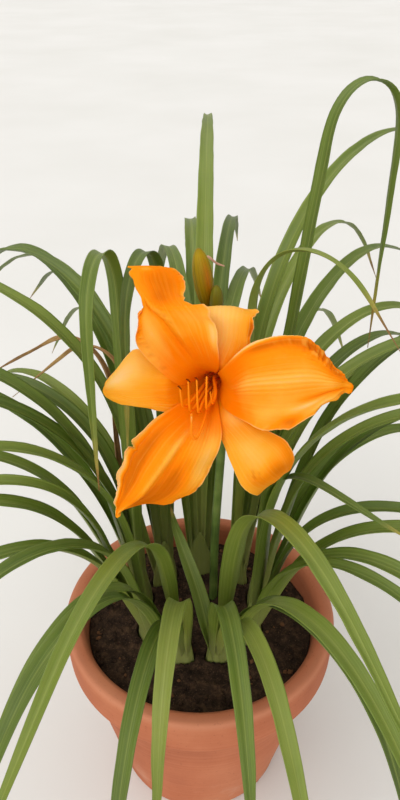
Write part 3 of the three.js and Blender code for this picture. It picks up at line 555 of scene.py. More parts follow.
class Finish:
    """A procedural material in the making. Its colours are given as the screen shows them, from 0 to 255."""

    def __init__(self, name, roughness, **sockets):
        self.material = bpy.data.materials.new(name)
        self.material.use_nodes = True
        self.tree = self.material.node_tree
        self.shader = self.tree.nodes["Principled BSDF"]
        self.base = None
        for socket, value in dict(sockets, Roughness=roughness).items():
            self.shader.inputs[socket.replace("_", " ")].default_value = value

    def node(self, kind, *inputs, **settings):
        made = self.tree.nodes.new("ShaderNode" + kind)
        for key, value in settings.items():
            setattr(made, key, value)
        for socket, value in zip(made.inputs, inputs):
            self.put(socket, value)
        return made

    def put(self, socket, value):
        if isinstance(value, bpy.types.NodeSocket):
            self.tree.links.new(value, socket)
        else:
            socket.default_value = value

    def math(self, operation, *inputs):
        return self.node("Math", *inputs, operation=operation).outputs[0]

    def plus(self, one, other):
        return self.math("ADD", one, other)

    def times(self, one, other):
        return self.math("MULTIPLY", one, other)

    def swayed(self, value, noise, amount):
        """A value moved by noise, by up to half the amount to either side."""
        return self.plus(value, self.times(self.math("SUBTRACT", noise, 0.5), amount))

    def span(self, value, low, high, to_low=0.0, to_high=1.0):
        return self.node("MapRange", value, low, high, to_low, to_high).outputs[0]

    def read(self, name):
        return self.node("Attribute", attribute_name=name).outputs["Fac"]

    def place(self):
        return self.node("TexCoord").outputs["Object"]

    def noise(self, vector, scale, detail, rough=0.55):
        made = self.node("TexNoise", vector)
        for socket, value in (("Scale", scale), ("Detail", detail), ("Roughness", rough)):
            made.inputs[socket].default_value = value
        return made.outputs["Fac"]

    def cloud(self, scale, detail, rough=0.55):
        return self.noise(self.place(), scale, detail, rough)

    def streaks(self, across_scale, along_scale, detail):
        """Noise drawn out along a leaf or tepal, and another one for each tone."""
        across = self.times(self.read("across"), across_scale)
        along = self.times(self.read("along"), along_scale)
        tone = self.times(self.read("tone"), 37.0)
        return self.noise(self.node("CombineXYZ", across, along, tone).outputs[0], 1.0, detail)

    def ramp(self, factor, *stops):
        """The base colour, from (place, colour) stops."""
        made = self.node("ValToRGB", factor)
        elements = made.color_ramp.elements
        while len(elements) < len(stops):
            elements.new(0.5)
        for element, (place, colour) in zip(elements, stops):
            element.position = place
            element.color = rgb(*colour)
        self.base = made.outputs["Color"]

    def tint(self, value, low, high, share, colour, where=None):
        """Turns the base towards a colour as a value goes from low to high, by at most a share."""
        factor = self.span(value, low, high, 0.0, share)
        if where is not None:
            factor = self.times(factor, where)
        made = self.node("Mix", data_type="RGBA")
        sockets = (made.inputs["Factor"], *made.inputs[6:8])
        for socket, item in zip(sockets, (factor, self.base, rgb(*colour))):
            self.put(socket, item)
        self.base = made.outputs[2]

    def bump(self, height, strength, distance):
        made = self.node("Bump")
        normal = self.shader.inputs["Normal"]
        made.inputs["Strength"].default_value = strength
        made.inputs["Distance"].default_value = distance
        self.put(made.inputs["Height"], height)
        if normal.is_linked:
            self.put(made.inputs["Normal"], normal.links[0].from_socket)
        self.put(normal, made.outputs["Normal"])

    def roughness(self, value, low, high):
        self.put(self.shader.inputs["Roughness"], self.span(value, 0.3, 0.7, low, high))

    def glow(self, share, colour):
        """Lets a share of the light through, as a thin petal or leaf does."""
        through = self.node("BsdfTranslucent", rgb(*colour))
        both = self.node("MixShader", share, self.shader.outputs[0], through.outputs[0])
        self.put(self.tree.nodes["Material Output"].inputs["Surface"], both.outputs[0])

    def done(self):
        self.put(self.shader.inputs["Base Color"], self.base)
        return self.material


def tepal_finish(name, throat, deep_tone_and_painted_shade, heart, main, light, rim):
    f = Finish(name, 0.6, Subsurface_Weight=0.2, Subsurface_Scale=0.003, Specular_IOR_Level=0.05,
               Subsurface_Radius=(1.0, 0.45, 0.05))
    along = f.read("along")
    relief = f.read("relief")
    streaks = f.streaks(26.0, 1.6, 3.0)
    fine = f.streaks(70.0, 2.5, 2.0)
    # The tepal's painted shading: painted shade and painted highlight with some of its own deeper and paler
    # orange, mottled by noise.
    shade = f.swayed(f.read("shade"), f.cloud(60.0, 3.0), 1.1)
    outer = f.span(along, 0.18, 0.36)
    blade = f.times(outer, f.span(along, 0.95, 0.7))
    # The throat is kept paler and yellower than the heart: partly the flower's own colour, partly painted
    # light that makes up for the shade deep in the throat.
    f.ramp(f.swayed(along, streaks, 0.12), (0.0, throat), (0.2, throat), (0.3, heart), (0.42, main))
    # Above 0 the colour goes paler as painted highlight, below 0 deeper as painted shade, and the strongest
    # painted highlights go as pale as the rim; some of this is the tepal's own paler and deeper orange.
    f.tint(shade, 0.0, 1.1, 0.85, light, outer)
    f.tint(shade, 0.0, -1.1, 0.85, heart, outer)
    f.tint(shade, -1.1, -2.6, 0.85, deep_tone_and_painted_shade, outer)
    f.tint(shade, 1.2, 2.4, 0.8, rim)
    f.tint(streaks, 0.5, 0.75, 0.3, light, blade)
    f.tint(fine, 0.52, 0.8, 0.22, heart)
    # Painted shade in the hollows of the crimps and painted highlight on their crests.
    f.tint(relief, -0.1, -0.9, 0.85, (206, 104, 4))
    f.tint(relief, 0.15, 0.9, 0.5, light)
    # Pale margins: partly the tepal's own pale edge, partly painted highlight where the rim catches the
    # light.
    f.tint(f.math("ABSOLUTE", f.read("across")), 0.965, 1.0, 1.0, rim, f.span(along, 0.3, 0.4, 0.0, 0.6))
    f.bump(f.times(streaks, blade), 0.3, 0.0005)
    f.bump(fine, 0.3, 0.0003)
    f.roughness(fine, 0.54, 0.66)
    f.glow(0.3, (255, 172, 8))
    return f.done()


def leaf_finish():
    f = Finish("leaf_blade", 0.42, Subsurface_Weight=0.12, Subsurface_Scale=0.002, Specular_IOR_Level=0.4,
               Subsurface_Radius=(0.6, 1.0, 0.1))
    along = f.read("along")
    tone = f.read("tone")
    veins = f.streaks(15.0, 1.4, 3.0)
    fine = f.streaks(48.0, 3.0, 2.0)
    cloud = f.cloud(14.0, 4.0)
    tip = f.swayed(f.swayed(along, cloud, 0.22), tone, 0.05)
    f.ramp(f.plus(f.times(tone, 0.55), f.times(cloud, 0.45)),
           (0.2, (62, 80, 18)), (0.42, (90, 108, 30)), (0.6, (112, 126, 42)), (0.8, (138, 144, 60)))
    f.tint(veins, 0.45, 0.72, 0.4, (156, 166, 82))
    f.tint(fine, 0.5, 0.8, 0.35, (56, 74, 16))
    f.tint(f.math("ABSOLUTE", f.read("across")), 0.1, 0.0, 0.5, (154, 162, 78))
    f.tint(f.swayed(along, veins, 0.1), 0.2, 0.02, 0.6, (180, 182, 112))
    f.tint(tip, 0.9, 0.965, 1.0, (170, 150, 66))
    f.tint(tip, 0.95, 0.99, 1.0, (144, 100, 54))
    f.bump(veins, 0.5, 0.0006)
    f.bump(fine, 0.35, 0.0003)
    f.roughness(fine, 0.36, 0.5)
    f.glow(0.12, (150, 190, 30))
    return f.done()


def dry_finish(name, dark, main, light):
    f = Finish(name, 0.75, Subsurface_Weight=0.08, Subsurface_Scale=0.001, Specular_IOR_Level=0.25)
    veins = f.streaks(16.0, 3.0, 4.0)
    cloud = f.cloud(30.0, 5.0)
    f.ramp(cloud, (0.3, dark), (0.5, main), (0.7, light))
    f.tint(veins, 0.45, 0.75, 0.55, light)
    f.tint(veins, 0.45, 0.25, 0.6, dark)
    f.bump(veins, 0.8, 0.0008)
    f.bump(cloud, 0.4, 0.0006)
    return f.done()


def stem_finish(name, dark, main, light, head):
    f = Finish(name, 0.45, Subsurface_Weight=0.1, Subsurface_Scale=0.001, Specular_IOR_Level=0.4,
               Subsurface_Radius=(0.5, 1.0, 0.15))
    veins = f.streaks(24.0, 3.0, 3.0)
    f.ramp(f.cloud(40.0, 4.0), (0.3, dark), (0.5, main), (0.72, light))
    f.tint(veins, 0.5, 0.75, 0.4, light)
    f.tint(f.read("tone"), 0.0, 1.0, 1.0, head)
    f.bump(veins, 0.4, 0.0004)
    return f.done()


def bud_finish(name, dark, main, light, flush):
    f = Finish(name, 0.42, Subsurface_Weight=0.15, Subsurface_Scale=0.0015, Specular_IOR_Level=0.14,
               Subsurface_Radius=(0.8, 0.7, 0.1))
    veins = f.streaks(34.0, 2.2, 3.0)
    f.ramp(f.read("along"), (0.0, dark), (0.25, main), (0.75, light), (1.0, main))
    f.tint(veins, 0.5, 0.75, 0.35, light)
    f.tint(veins, 0.48, 0.25, 0.3, dark)
    f.tint(f.read("tone"), 0.0, 1.0, 1.0, flush, f.span(veins, 0.3, 0.6, 0.5, 1.0))
    # Painted shade in the grooves along the bud's seams.
    f.tint(f.read("relief"), -0.2, -1.0, 0.75, dark)
    f.bump(veins, 0.45, 0.0005)
    return f.done()


def thread_finish(name, foot, main, head):
    f = Finish(name, 0.55, Subsurface_Weight=0.2, Subsurface_Scale=0.001, Specular_IOR_Level=0.1,
               Subsurface_Radius=(1.0, 0.35, 0.04))
    along = f.swayed(f.read("along"), f.cloud(260.0, 4.0), 0.16)
    f.ramp(along, (0.0, foot), (0.45, main), (0.85, main), (1.0, head))
    f.bump(f.streaks(6.0, 30.0, 4.0), 0.2, 0.0002)
    f.glow(0.2, (255, 140, 10))
    return f.done()


def anther_finish():
    f = Finish("anther_pollen_sac", 0.9, Specular_IOR_Level=0.0)
    grain = f.cloud(2600.0, 4.0)
    f.ramp(grain, (0.35, (66, 18, 4)), (0.55, (104, 36, 6)), (0.75, (160, 72, 12)))
    f.tint(f.read("relief"), -0.2, -1.0, 0.7, (150, 66, 12))
    f.bump(grain, 0.6, 0.0003)
    return f.done()


def clay_finish():
    f = Finish("fired_clay", 0.82, Specular_IOR_Level=0.25)
    speck = f.cloud(420.0, 3.0)
    height = f.node("SeparateXYZ", f.place()).outputs["Z"]
    lines = f.noise(f.node("CombineXYZ", 0.0, 0.0, height).outputs[0], 260.0, 3.0)
    f.ramp(f.cloud(9.0, 6.0), (0.3, (160, 88, 58)), (0.5, (180, 104, 70)), (0.7, (196, 124, 88)))
    f.tint(lines, 0.4, 0.7, 0.25, (204, 136, 102))
    f.tint(speck, 0.62, 0.75, 0.45, (128, 66, 44))
    f.tint(f.cloud(26.0, 6.0), 0.56, 0.72, 1.0, (214, 186, 164), f.span(height, 0.06, 0.0, 0.0, 0.4))
    f.tint(f.read("relief"), 0.0, 1.0, 0.4, (212, 148, 116))
    f.bump(lines, 0.25, 0.0006)
    f.bump(speck, 0.25, 0.0004)
    return f.done()


def soil_finish():
    f = Finish("potting_soil", 0.95, Specular_IOR_Level=0.12)
    clod = f.cloud(110.0, 8.0, 0.65)
    grit = f.cloud(620.0, 4.0, 0.6)
    f.ramp(clod, (0.3, (30, 21, 15)), (0.5, (52, 38, 28)), (0.66, (78, 58, 42)), (0.8, (104, 80, 58)))
    f.tint(grit, 0.58, 0.7, 0.5, (120, 94, 70))
    f.tint(grit, 0.4, 0.28, 0.7, (20, 14, 10))
    f.tint(f.read("tone"), 0.0, 1.0, 1.0, (134, 92, 60))
    f.bump(clod, 0.9, 0.003)
    f.bump(grit, 0.6, 0.0012)
    return f.done()


def floor_finish():
    f = Finish("pale_floor", 0.8, Specular_IOR_Level=0.2)
    f.ramp(f.cloud(1.5, 3.0), (0.3, (214, 212, 207)), (0.7, (220, 218, 214)))
    return f.done()


# ---- Pot and soil ----

def pot_inside(height):
    share = (height - POT_FLOOR) / (POT_HEIGHT - POT_FLOOR)
    low = POT_BASE_RADIUS - POT_WALL + 2
    return low + share * (POT_BODY_TOP_RADIUS - POT_WALL - low)


def rounded(profile, reach, steps=4):
    """A profile with each of its inner corners turned into a short arc."""
    points = [np.array(p, float) for p in profile]
    result = [points[0]]
    for before, corner, after in zip(points, points[1:], points[2:]):
        share = min(reach, np.linalg.norm(before - corner) * 0.4, np.linalg.norm(after - corner) * 0.4)
        start = corner + unit(before - corner) * share
        end = corner + unit(after - corner) * share
        for t in np.linspace(0, 1, steps + 1):
            result.append((1 - t) ** 2 * start + 2 * t * (1 - t) * corner + t * t * end)
    return np.array([*result, points[-1]])


def refined(profile, longest):
    """A profile with its long straights divided."""
    result = [profile[0]]
    for start, end in zip(profile, profile[1:]):
        parts = max(1, math.ceil(np.linalg.norm(end - start) / longest))
        result += [start + (end - start) * k / parts for k in range(1, parts + 1)]
    return np.array(result)


def drill(piece, x, y):
    """Cuts a drain hole through the pot's floor."""
    tool = Body()
    tool.tube([(x, y, -5), (x, y, 20)], [DRAIN_RADIUS], 32, 1)
    cutter = placed("drain", tool.mesh("drain"))
    modifier = piece.modifiers.new("drain", "BOOLEAN")
    modifier.operation = "DIFFERENCE"
    modifier.object = cutter
    bpy.context.view_layer.update()
    drilled = bpy.data.meshes.new_from_object(piece.evaluated_get(bpy.context.evaluated_depsgraph_get()))
    piece.modifiers.clear()
    piece.data = drilled
    bpy.data.objects.remove(cutter)


def make_pot():
    rim_foot = POT_HEIGHT - RIM_HEIGHT
    profile = [
        (POT_CENTRE_RADIUS, 0), (POT_BASE_RADIUS - 2, 0), (POT_BASE_RADIUS, 3),
        (POT_BODY_TOP_RADIUS - 2, rim_foot - 1), (RIM_RADIUS - 3, rim_foot), (RIM_RADIUS - 1, rim_foot + 4),
        (RIM_RADIUS, POT_HEIGHT - 5), (RIM_RADIUS - 3, POT_HEIGHT), (pot_inside(POT_HEIGHT) + 4, POT_HEIGHT),
        (pot_inside(POT_HEIGHT), POT_HEIGHT - 4), (pot_inside(POT_FLOOR), POT_FLOOR),
        (POT_CENTRE_RADIUS, POT_FLOOR),
    ]
    outline = refined(rounded(profile, CORNER_REACH), POT_STEP)
    radius, height = outline[:, 0:1], outline[:, 1:2]
    cos, sin = np.cos(around(POT_SIDES)), np.sin(around(POT_SIDES))
    wobble = 0.35 * ripple(3, cos * 1.2, sin * 1.2, height / 70) + 0.12 * ripple(4, 0 * cos, height / 3.5)
    reach = radius + wobble * smoothstep(0, 14, height)
    worn = np.clip(1 - np.abs(height - POT_HEIGHT + 2) / 4, 0, 1) * (radius > POT_BODY_TOP_RADIUS)
    body = Body()
    body.rings(np.stack([reach * cos, reach * sin, height + 0 * cos], -1), relief=worn)
    piece = body.build("pot_fired", clay_finish(), "pot")
    for k in range(DRAIN_COUNT):
        x, y = turned(DRAIN_AZIMUTH + 360 * k / DRAIN_COUNT)
        drill(piece, DRAIN_RING * x, DRAIN_RING * y)


def crumb(random, place, size):
    """A small lump, as rings of points."""
    rings, sides = 5, 7
    polar = np.linspace(0.35, math.pi - 0.35, rings)[:, None]
    angle = around(sides)
    reach = size * random.uniform(0.7, 1.25, (rings, sides))
    squash = random.uniform(0.45, 0.8)
    x = reach * np.sin(polar) * np.cos(angle)
    y = reach * np.sin(polar) * np.sin(angle) * random.uniform(0.6, 1)
    turn = random.uniform(0, 2 * math.pi)
    cos, sin = math.cos(turn), math.sin(turn)
    return np.stack([x * cos - y * sin, x * sin + y * cos, -reach * np.cos(polar) * squash], -1) + place


def soil_height(x, y):
    """The soil's uneven surface."""
    places = [0, 40, 82, pot_inside(SOIL_EDGE_HEIGHT) - GAP]
    heights = [SOIL_CROWN_HEIGHT - 1, SOIL_CROWN_HEIGHT - 1, SOIL_EDGE_HEIGHT + 2, SOIL_EDGE_HEIGHT - 1]
    height = np.interp(np.hypot(x, y), places, heights)
    for seed, size, length in ((11, 1.3, 26), (12, 0.9, 11), (13, 0.55, 5), (14, 0.35, 2.4)):
        height = height + size * ripple(seed, x / length, y / length)
    return height


def stem_share(fans, x, y):
    """Under 1 inside the hole of a fan, a withered leaf or the stalk."""
    shares = [np.hypot(x - SCAPE_FOOT[0], y - SCAPE_FOOT[1]) / SCAPE_HOLE_RADIUS]
    shares += [np.hypot(x - leaf["x"], y - leaf["y"]) / WITHERED_HOLE_RADIUS for leaf in WITHERED_LEAVES]
    depth, width = SHEATH_HALF_DEPTH + FAN_HOLE_ROOM, SHEATH_HALF_WIDTH + FAN_HOLE_ROOM
    for fan in fans:
        cos, sin = turned(fan["azimuth"])
        out = (x - fan["x"]) * cos + (y - fan["y"]) * sin
        side = -(x - fan["x"]) * sin + (y - fan["y"]) * cos
        shares.append(np.hypot(out / depth, side / width))
    return np.minimum.reduce(shares)


def make_soil(fans):
    rim = pot_inside(SOIL_EDGE_HEIGHT) - GAP
    cos, sin = np.cos(around(SOIL_SIDES)), np.sin(around(SOIL_SIDES))
    wall = np.array([(pot_inside(z) - GAP, z) for z in (POT_FLOOR + GAP, 60, 110, 150)])[..., None]
    lower = np.stack([wall[:, 0] * cos, wall[:, 0] * sin, wall[:, 1] + 0 * cos], -1)
    radius = np.linspace(rim, 1.2, SOIL_RINGS)[:, None]
    x, y = radius * cos, radius * sin
    share = stem_share(fans, x, y)
    top = np.where(share < 1, HOLE_FLOOR + 20, soil_height(x, y) + 1.2 * smoothstep(1.5, 1.0, share))
    body = Body()
    body.rings(np.concatenate([lower, np.stack([x, y, top], -1)]))
    random = np.random.default_rng(CRUMB_SEED)
    for _ in range(CRUMB_COUNT):
        angle = random.uniform(0, 2 * math.pi)
        size = random.uniform(0.7, 2.6) ** 1.15
        reach = (rim - 3) * math.sqrt(random.uniform(0, 1))
        x, y = reach * math.cos(angle), reach * math.sin(angle)
        if stem_share(fans, x, y) < 1.25 or reach + size > rim - 0.5:
            continue
        tone = 0.5 * (random.uniform() > 0.86)
        body.rings(crumb(random, (x, y, soil_height(x, y) + size * 0.15), size), tone=tone)
    body.build("soil_surface", soil_finish(), "soil")


# ---- Leaves ----

def leaf_path(leaf):
    """Along a leaf's midrib: shares of its length, places, and the ways to its side and out of its face."""
    t = np.linspace(0, 1, LEAF_STEPS + 1)
    turn = smoothstep(leaf["bend_from"], leaf["bend_to"], t)
    level, rise = turned(leaf["lift"] - leaf["droop"] * turn)
    x, y = turned(leaf["heading"] + leaf["swing"] * t * t)
    tangent = np.stack([level * x, level * y, rise], -1)
    place = np.array(leaf["foot"]) + (np.cumsum(tangent, axis=0) - tangent) * leaf["length"] / LEAF_STEPS
    flat = np.stack([-y, x, 0 * x], -1)
    c, s = turned(leaf["twist"] * t * t)
    side = flat * c[:, None] + np.cross(tangent, flat) * s[:, None]
    sharp = leaf["bend_to"] - leaf["bend_from"] < SHARP_BEND
    pick = slice(None, None, 1 if sharp else LEAF_STRIDE)
    return t[pick], place[pick], side[pick], np.cross(tangent, side)[pick]


def leaf_half_width(leaf, t):
    foot = FOOT_WIDTH_SHARE + (1 - FOOT_WIDTH_SHARE) * smoothstep(0, FOOT_WIDTH_REACH, t)
    taper = np.maximum(1 - t**TAPER_POWER, 0) ** TAPER_ROUNDING
    return np.maximum(leaf["width"] / 2 * foot * taper, TIP_HALF_WIDTH)


def leaf_keel(leaf, t):
    closed = 1 - smoothstep(0, FOOT_KEEL_REACH, t)
    return leaf["keel"] + (FOOT_KEEL - leaf["keel"]) * closed - TIP_KEEL_LOSS * t


def add_leaf(body, leaf, seed, crinkle=0.0):
    """A strap leaf as a closed sheet, folded up along its midrib, with softly waved margins."""
    t, place, side, face = leaf_path(leaf)
    half = leaf_half_width(leaf, t)
    out, up = turned(leaf_keel(leaf, t))
    v = np.linspace(-1, 1, LEAF_COLUMNS)
    soft = (np.sqrt(v * v + 0.02) - math.sqrt(0.02)) / (math.sqrt(1.02) - math.sqrt(0.02))
    wide = (half * out)[:, None] * v
    high = (half * up)[:, None] * (soft - 0.08 * np.sin(math.pi * np.abs(v)))
    far = t[:, None] * leaf["length"] + 0 * v
    free = smoothstep(0.12, 0.3, t)[:, None] * smoothstep(0, 2.5, half)[:, None]
    wave = 0.5 * ripple(seed, far / 55, np.sign(v) * 2) * v**2
    wave = wave + (0.35 + crinkle) * ripple(seed + 1, far / 30, v * 1.1)
    high = high + wave * free
    wide = wide + 0.22 * ripple(seed + 2, far / 18, np.sign(v) * 3) * v * free
    grid = place[:, None] + wide[..., None] * side[:, None] + high[..., None] * face[:, None]
    thick = LEAF_THICKNESS * (0.5 + 0.5 * hump(v, 0, 0.25)) * np.clip(half / 2.5, 0.5, 1)[:, None]
    tone = np.random.default_rng(seed).uniform(0.15, 0.9)
    body.sheet(grid, thick, along=t[:, None], across=v, tone=tone, relief=high / 8)


def add_sheath(body, fan):
    """The overlapping leaf bases of a fan, grown together."""
    steps, sides = 40, 48
    heights = np.concatenate([[0], np.linspace(1, SHEATH_HEIGHT - 1, steps)])[:, None]
    angle = around(sides)
    folds = 1 + 0.025 * np.sin(9 * angle) * smoothstep(0, 20, heights)
    shares, places = zip(*SHEATH_PROFILE)
    reach = np.interp(heights, places, shares) * folds
    out = reach * SHEATH_HALF_DEPTH * np.cos(angle)
    side = reach * SHEATH_HALF_WIDTH * np.sin(angle)
    cos, sin = turned(fan["azimuth"])
    z = HOLE_FLOOR + GAP + heights + 0 * angle
    rings = np.stack([fan["x"] + out * cos - side * sin, fan["y"] + out * sin + side * cos, z], -1)
    rise = np.linspace(0, 0.12, steps + 1)[:, None]
    body.rings(rings, along=rise, across=np.linspace(-4, 4, sides), tone=0.6)


def leaf_foot(fan, along):
    cos, sin = turned(fan["azimuth"])
    return (
        fan["x"] + FOOT_OUT * cos - along * sin,
        fan["y"] + FOOT_OUT * sin + along * cos,
        LEAF_START_HEIGHT,
    )


def fan_leaves(fan, random):
    """Each number of a leaf is a usual value, what its place in the fan adds, and a random play."""
    leaves = []
    for k in range(fan["leaves"]):
        place = 2 * k / (fan["leaves"] - 1) - 1
        outer = abs(place)
        other = k % 2
        leaves.append(dict(
            foot=leaf_foot(fan, FOOT_SPREAD * place),
            heading=fan["azimuth"] + 14 * place + 3 * (next(random) - 0.5),
            lift=fan["lift"] + 4 - 8 * outer - 10 * other + 3 * next(random),
            droop=95 + 25 * outer + 30 * next(random),
            length=fan["length"] * (1.05 - 0.25 * outer - 0.08 * other + 0.12 * next(random)),
            width=15 + 4 * next(random),
            keel=24 + 6 * next(random),
            swing=5 * (next(random) - 0.5),
            twist=30 * (next(random) - 0.5),
            bend_from=0.1 + 0.15 * next(random),
            bend_to=0.8 + 0.15 * next(random),
        ))
    return leaves


def make_fans():
    random = seeded(LEAF_SEED)
    finish = leaf_finish()
    fans = []
    for number, (azimuth, leaves, length, lift) in enumerate(FAN_PLANS, 1):
        cos, sin = turned(azimuth)
        fan = dict(azimuth=azimuth, leaves=leaves, length=length, lift=lift,
                   x=FAN_RING * cos, y=FAN_RING * sin + FAN_RING_SHIFT)
        hanging = [leaf for leaf in HANGING_LEAVES if leaf["fan"] == number]
        blades = fan_leaves(fan, random)
        blades += [dict(leaf, foot=leaf_foot(fan, leaf["along"])) for leaf in hanging]
        body = Body()
        for k, leaf in enumerate(blades):
            add_leaf(body, leaf, 1000 * number + 10 * k)
        add_sheath(body, fan)
        body.build(f"leaf_fan_{number}_blades", finish, f"leaf_fan_{number}")
        fans.append(fan)
    return fans


def make_withered_leaves():
    finish = dry_finish("leaf_dry", (96, 66, 36), (150, 112, 64), (188, 152, 96))
    for number, leaf in enumerate(WITHERED_LEAVES, 1):
        foot = (leaf["x"], leaf["y"], HOLE_FLOOR + 2 * GAP)
        body = Body()
        add_leaf(body, dict(leaf, foot=foot, **WITHERED_SHAPE), 7000 + number, crinkle=0.35)
        body.build(f"withered_leaf_{number}_blade", finish, f"withered_leaf_{number}")


# ---- Scape, bract and buds ----

def spindle_rings(base, direction, profile, sides, steps, lobe):
    """Rings round a straight axis, from (distance, radius) pairs. The lobe adds a share to the radius."""
    direction = unit(np.array(direction, float))
    turn = Vector((0, 0, 1)).rotation_difference(Vector(direction))
    right, up = (np.array(turn @ Vector(v)) for v in ((1, 0, 0), (0, 1, 0)))
    line = curve(profile, np.linspace(0, 1, steps + 1))
    distance, radius = line[:, 0:1], line[:, 1:2]
    start, end = profile[0][0], profile[-1][0]
    angle = around(sides, 360)
    reach = radius * (1 + lobe((distance - start) / (end - start), angle))
    c, s = turned(angle)
    return (
        np.array(base) + distance[..., None] * direction
        + (reach * c)[..., None] * right + (reach * s)[..., None] * up
    )


def bud_lobe(u, angle):
    """Three outer tepals wrap round the bud: a seam where each overlaps the next, and low ribs between."""
    swirl = angle + BUD_SWIRL * u
    seam = swirl / 120 % 1
    step = 0.05 * smoothstep(0.0, 0.1, seam) - 0.05 * smoothstep(0.5, 1.0, seam)
    return 0.045 * turned(3 * angle)[0] + step + 0.02 * turned(BUD_RIBS * swirl)[0]


def make_bud(name, bud, finish, flush):
    rings = spindle_rings(bud["base"], bud["direction"], bud["profile"], BUD_SIDES, BUD_STEPS, bud_lobe)
    u = np.linspace(0, 1, BUD_STEPS + 1)[:, None]
    angle = around(BUD_SIDES, 360)
    seam = (angle + BUD_SWIRL * u) / 120 % 1
    # The groove darkens the bud's colour along each seam as painted shade.
    groove = smoothstep(0.0, 0.06, np.minimum(seam, 1 - seam)) - 1
    body = Body()
    body.rings(rings, along=u, across=angle / 180, relief=groove, tone=flush)
    body.build(name + "_furled", finish, name)


def make_buds():
    ochre = bud_finish("bud_skin_ochre", (84, 78, 0), (116, 100, 0), (156, 132, 6), (180, 92, 2))
    fresh = bud_finish("bud_skin_green", (56, 58, 0), (80, 80, 2), (108, 110, 20), (122, 98, 6))
    sunny = np.clip(turned(around(BUD_SIDES, 360) + 56)[0], 0, 1) ** 10
    flush = 0.06 + 0.7 * sunny * hump(np.linspace(0, 1, BUD_STEPS + 1)[:, None], 0.45, 0.2)
    make_bud("bud_large", BIG_BUD, ochre, flush)
    make_bud("bud_small", SMALL_BUD, fresh, 0.3)


def bud_seat(bud):
    """The end of a branch: a point a little below the bud, and its seat."""
    base, direction = np.array(bud["base"]), unit(np.array(bud["direction"]))
    return [base - BRANCH_END * direction, base - GAP * direction]


def make_scape():
    green = stem_finish("scape_skin", (70, 92, 36), (94, 118, 50), (128, 146, 74), (150, 128, 48))
    pedicel = [flower_point(-TUBE_LENGTH - PEDICEL_LENGTH), flower_point(-TUBE_LENGTH - GAP)]
    body = Body()
    body.tube(SCAPE_PATH, SCAPE_RADII, 24, 90)
    body.tube([*NECK_PATH, *pedicel], NECK_RADII, 20, 40)
    body.tube([*BUD_BRANCH, *bud_seat(BIG_BUD)], BUD_BRANCH_RADII, 18, 50)
    body.tube([*SMALL_BRANCH, *bud_seat(SMALL_BUD)], SMALL_BRANCH_RADII, 16, 30)
    body.build("scape_stalk", green, "scape")


def make_bract():
    tan = dry_finish("bract_dry", (140, 96, 74), (196, 148, 122), (224, 184, 156))
    u = np.linspace(0, 1, 70)
    v = np.linspace(-1, 1, 11)
    middle = curve(BRACT_PATH, u)
    half = np.interp(u, np.linspace(0, 1, len(BRACT_HALF_WIDTHS)), BRACT_HALF_WIDTHS)
    half = half * (1 - 0.6 * smoothstep(0.75, 1, u))
    tangent = unit(np.gradient(middle, axis=0))
    across = unit(np.cross(np.cross([0.0, 1.0, 0.0], tangent), tangent))
    lift = unit(np.cross(tangent, across))
    cup = 0.5 * half[:, None] * (v**2 - 0.4) + 0.25 * ripple(61, u[:, None] * 14, v * 1.5)
    grid = middle[:, None] + (half[:, None] * v)[..., None] * across[:, None] + cup[..., None] * lift[:, None]
    body = Body()
    body.sheet(grid, BRACT_THICKNESS, along=u[:, None], across=v, tone=0.4)
    body.build("bract_blade", tan, "bract")


# ---- Bloom ----

def tepal_grid(tepal):
    """The control grid of a tepal, row by row from the tube."""
    step = 0 if tepal["inner"] else LAYER_STEP
    throat = [[flower_point(along, radius + step, tepal["angle"] + v * tepal["wrap"]) for v in (-1, 0, 1)]
              for along, radius in THROAT]
    return np.array(throat + [list(bloom_point(row)) for row in tepal["rows"]])


def nicked(tepal, number, u, v):
    """How far out each point lies, in half widths, and how far it moves to the tip, at ragged margins."""
    side = np.where(v < 0, -1.0, 1.0)
    wander = ripple(number * 31, u * 24, side * 2) + 0.7 * ripple(number * 31 + 1, u * 60, side * 2)
    spread = 1 + tepal["jag"] * smoothstep(0.36, 0.5, u) * np.abs(v) ** 8 * wander
    shift = np.zeros_like(spread)
    for margin, at, wide, depth, ahead in tepal["nicks"]:
        dent = hump(u, at, wide) * (side == margin) * np.abs(v) ** 4
        spread = spread - depth * dent
        shift = shift + ahead * dent
    return spread * v, shift


def rolled(tepal, u, v, spread, half):
    """The spread with its margins rolled over, and how high they rise."""
    lift = np.zeros_like(spread)
    for margin, start, end, degrees, share in tepal["rolls"]:
        turn = np.maximum(math.radians(abs(degrees)) * window(start, end, u, 0.12), 0.01)
        t = np.clip((margin * v - 1 + share) / share, 0, 1)
        spread = spread + margin * share * (np.sin(turn * t) / turn - t)
        lift = lift + math.copysign(1, degrees) * share * half * (1 - np.cos(turn * t)) / turn
    return spread, lift


def ruffled(tepal, number, u, v):
    """The broad waves of the margins, and a slight unevenness all over."""
    reach = smoothstep(0.3, 0.55, u) * (1 - smoothstep(0.85, 1, u))
    phase = 2 * math.pi * (tepal["waves"] * u + np.where(v < 0, 0.3, 0))
    waves = tepal["ruffle"] * reach * np.abs(v) ** 3 * (np.sin(phase) + 0.35 * np.sin(1.7 * phase + 1))
    return waves + 0.35 * smoothstep(0.25, 0.5, u) * ripple(number * 70, u * 5, v * 1.6)


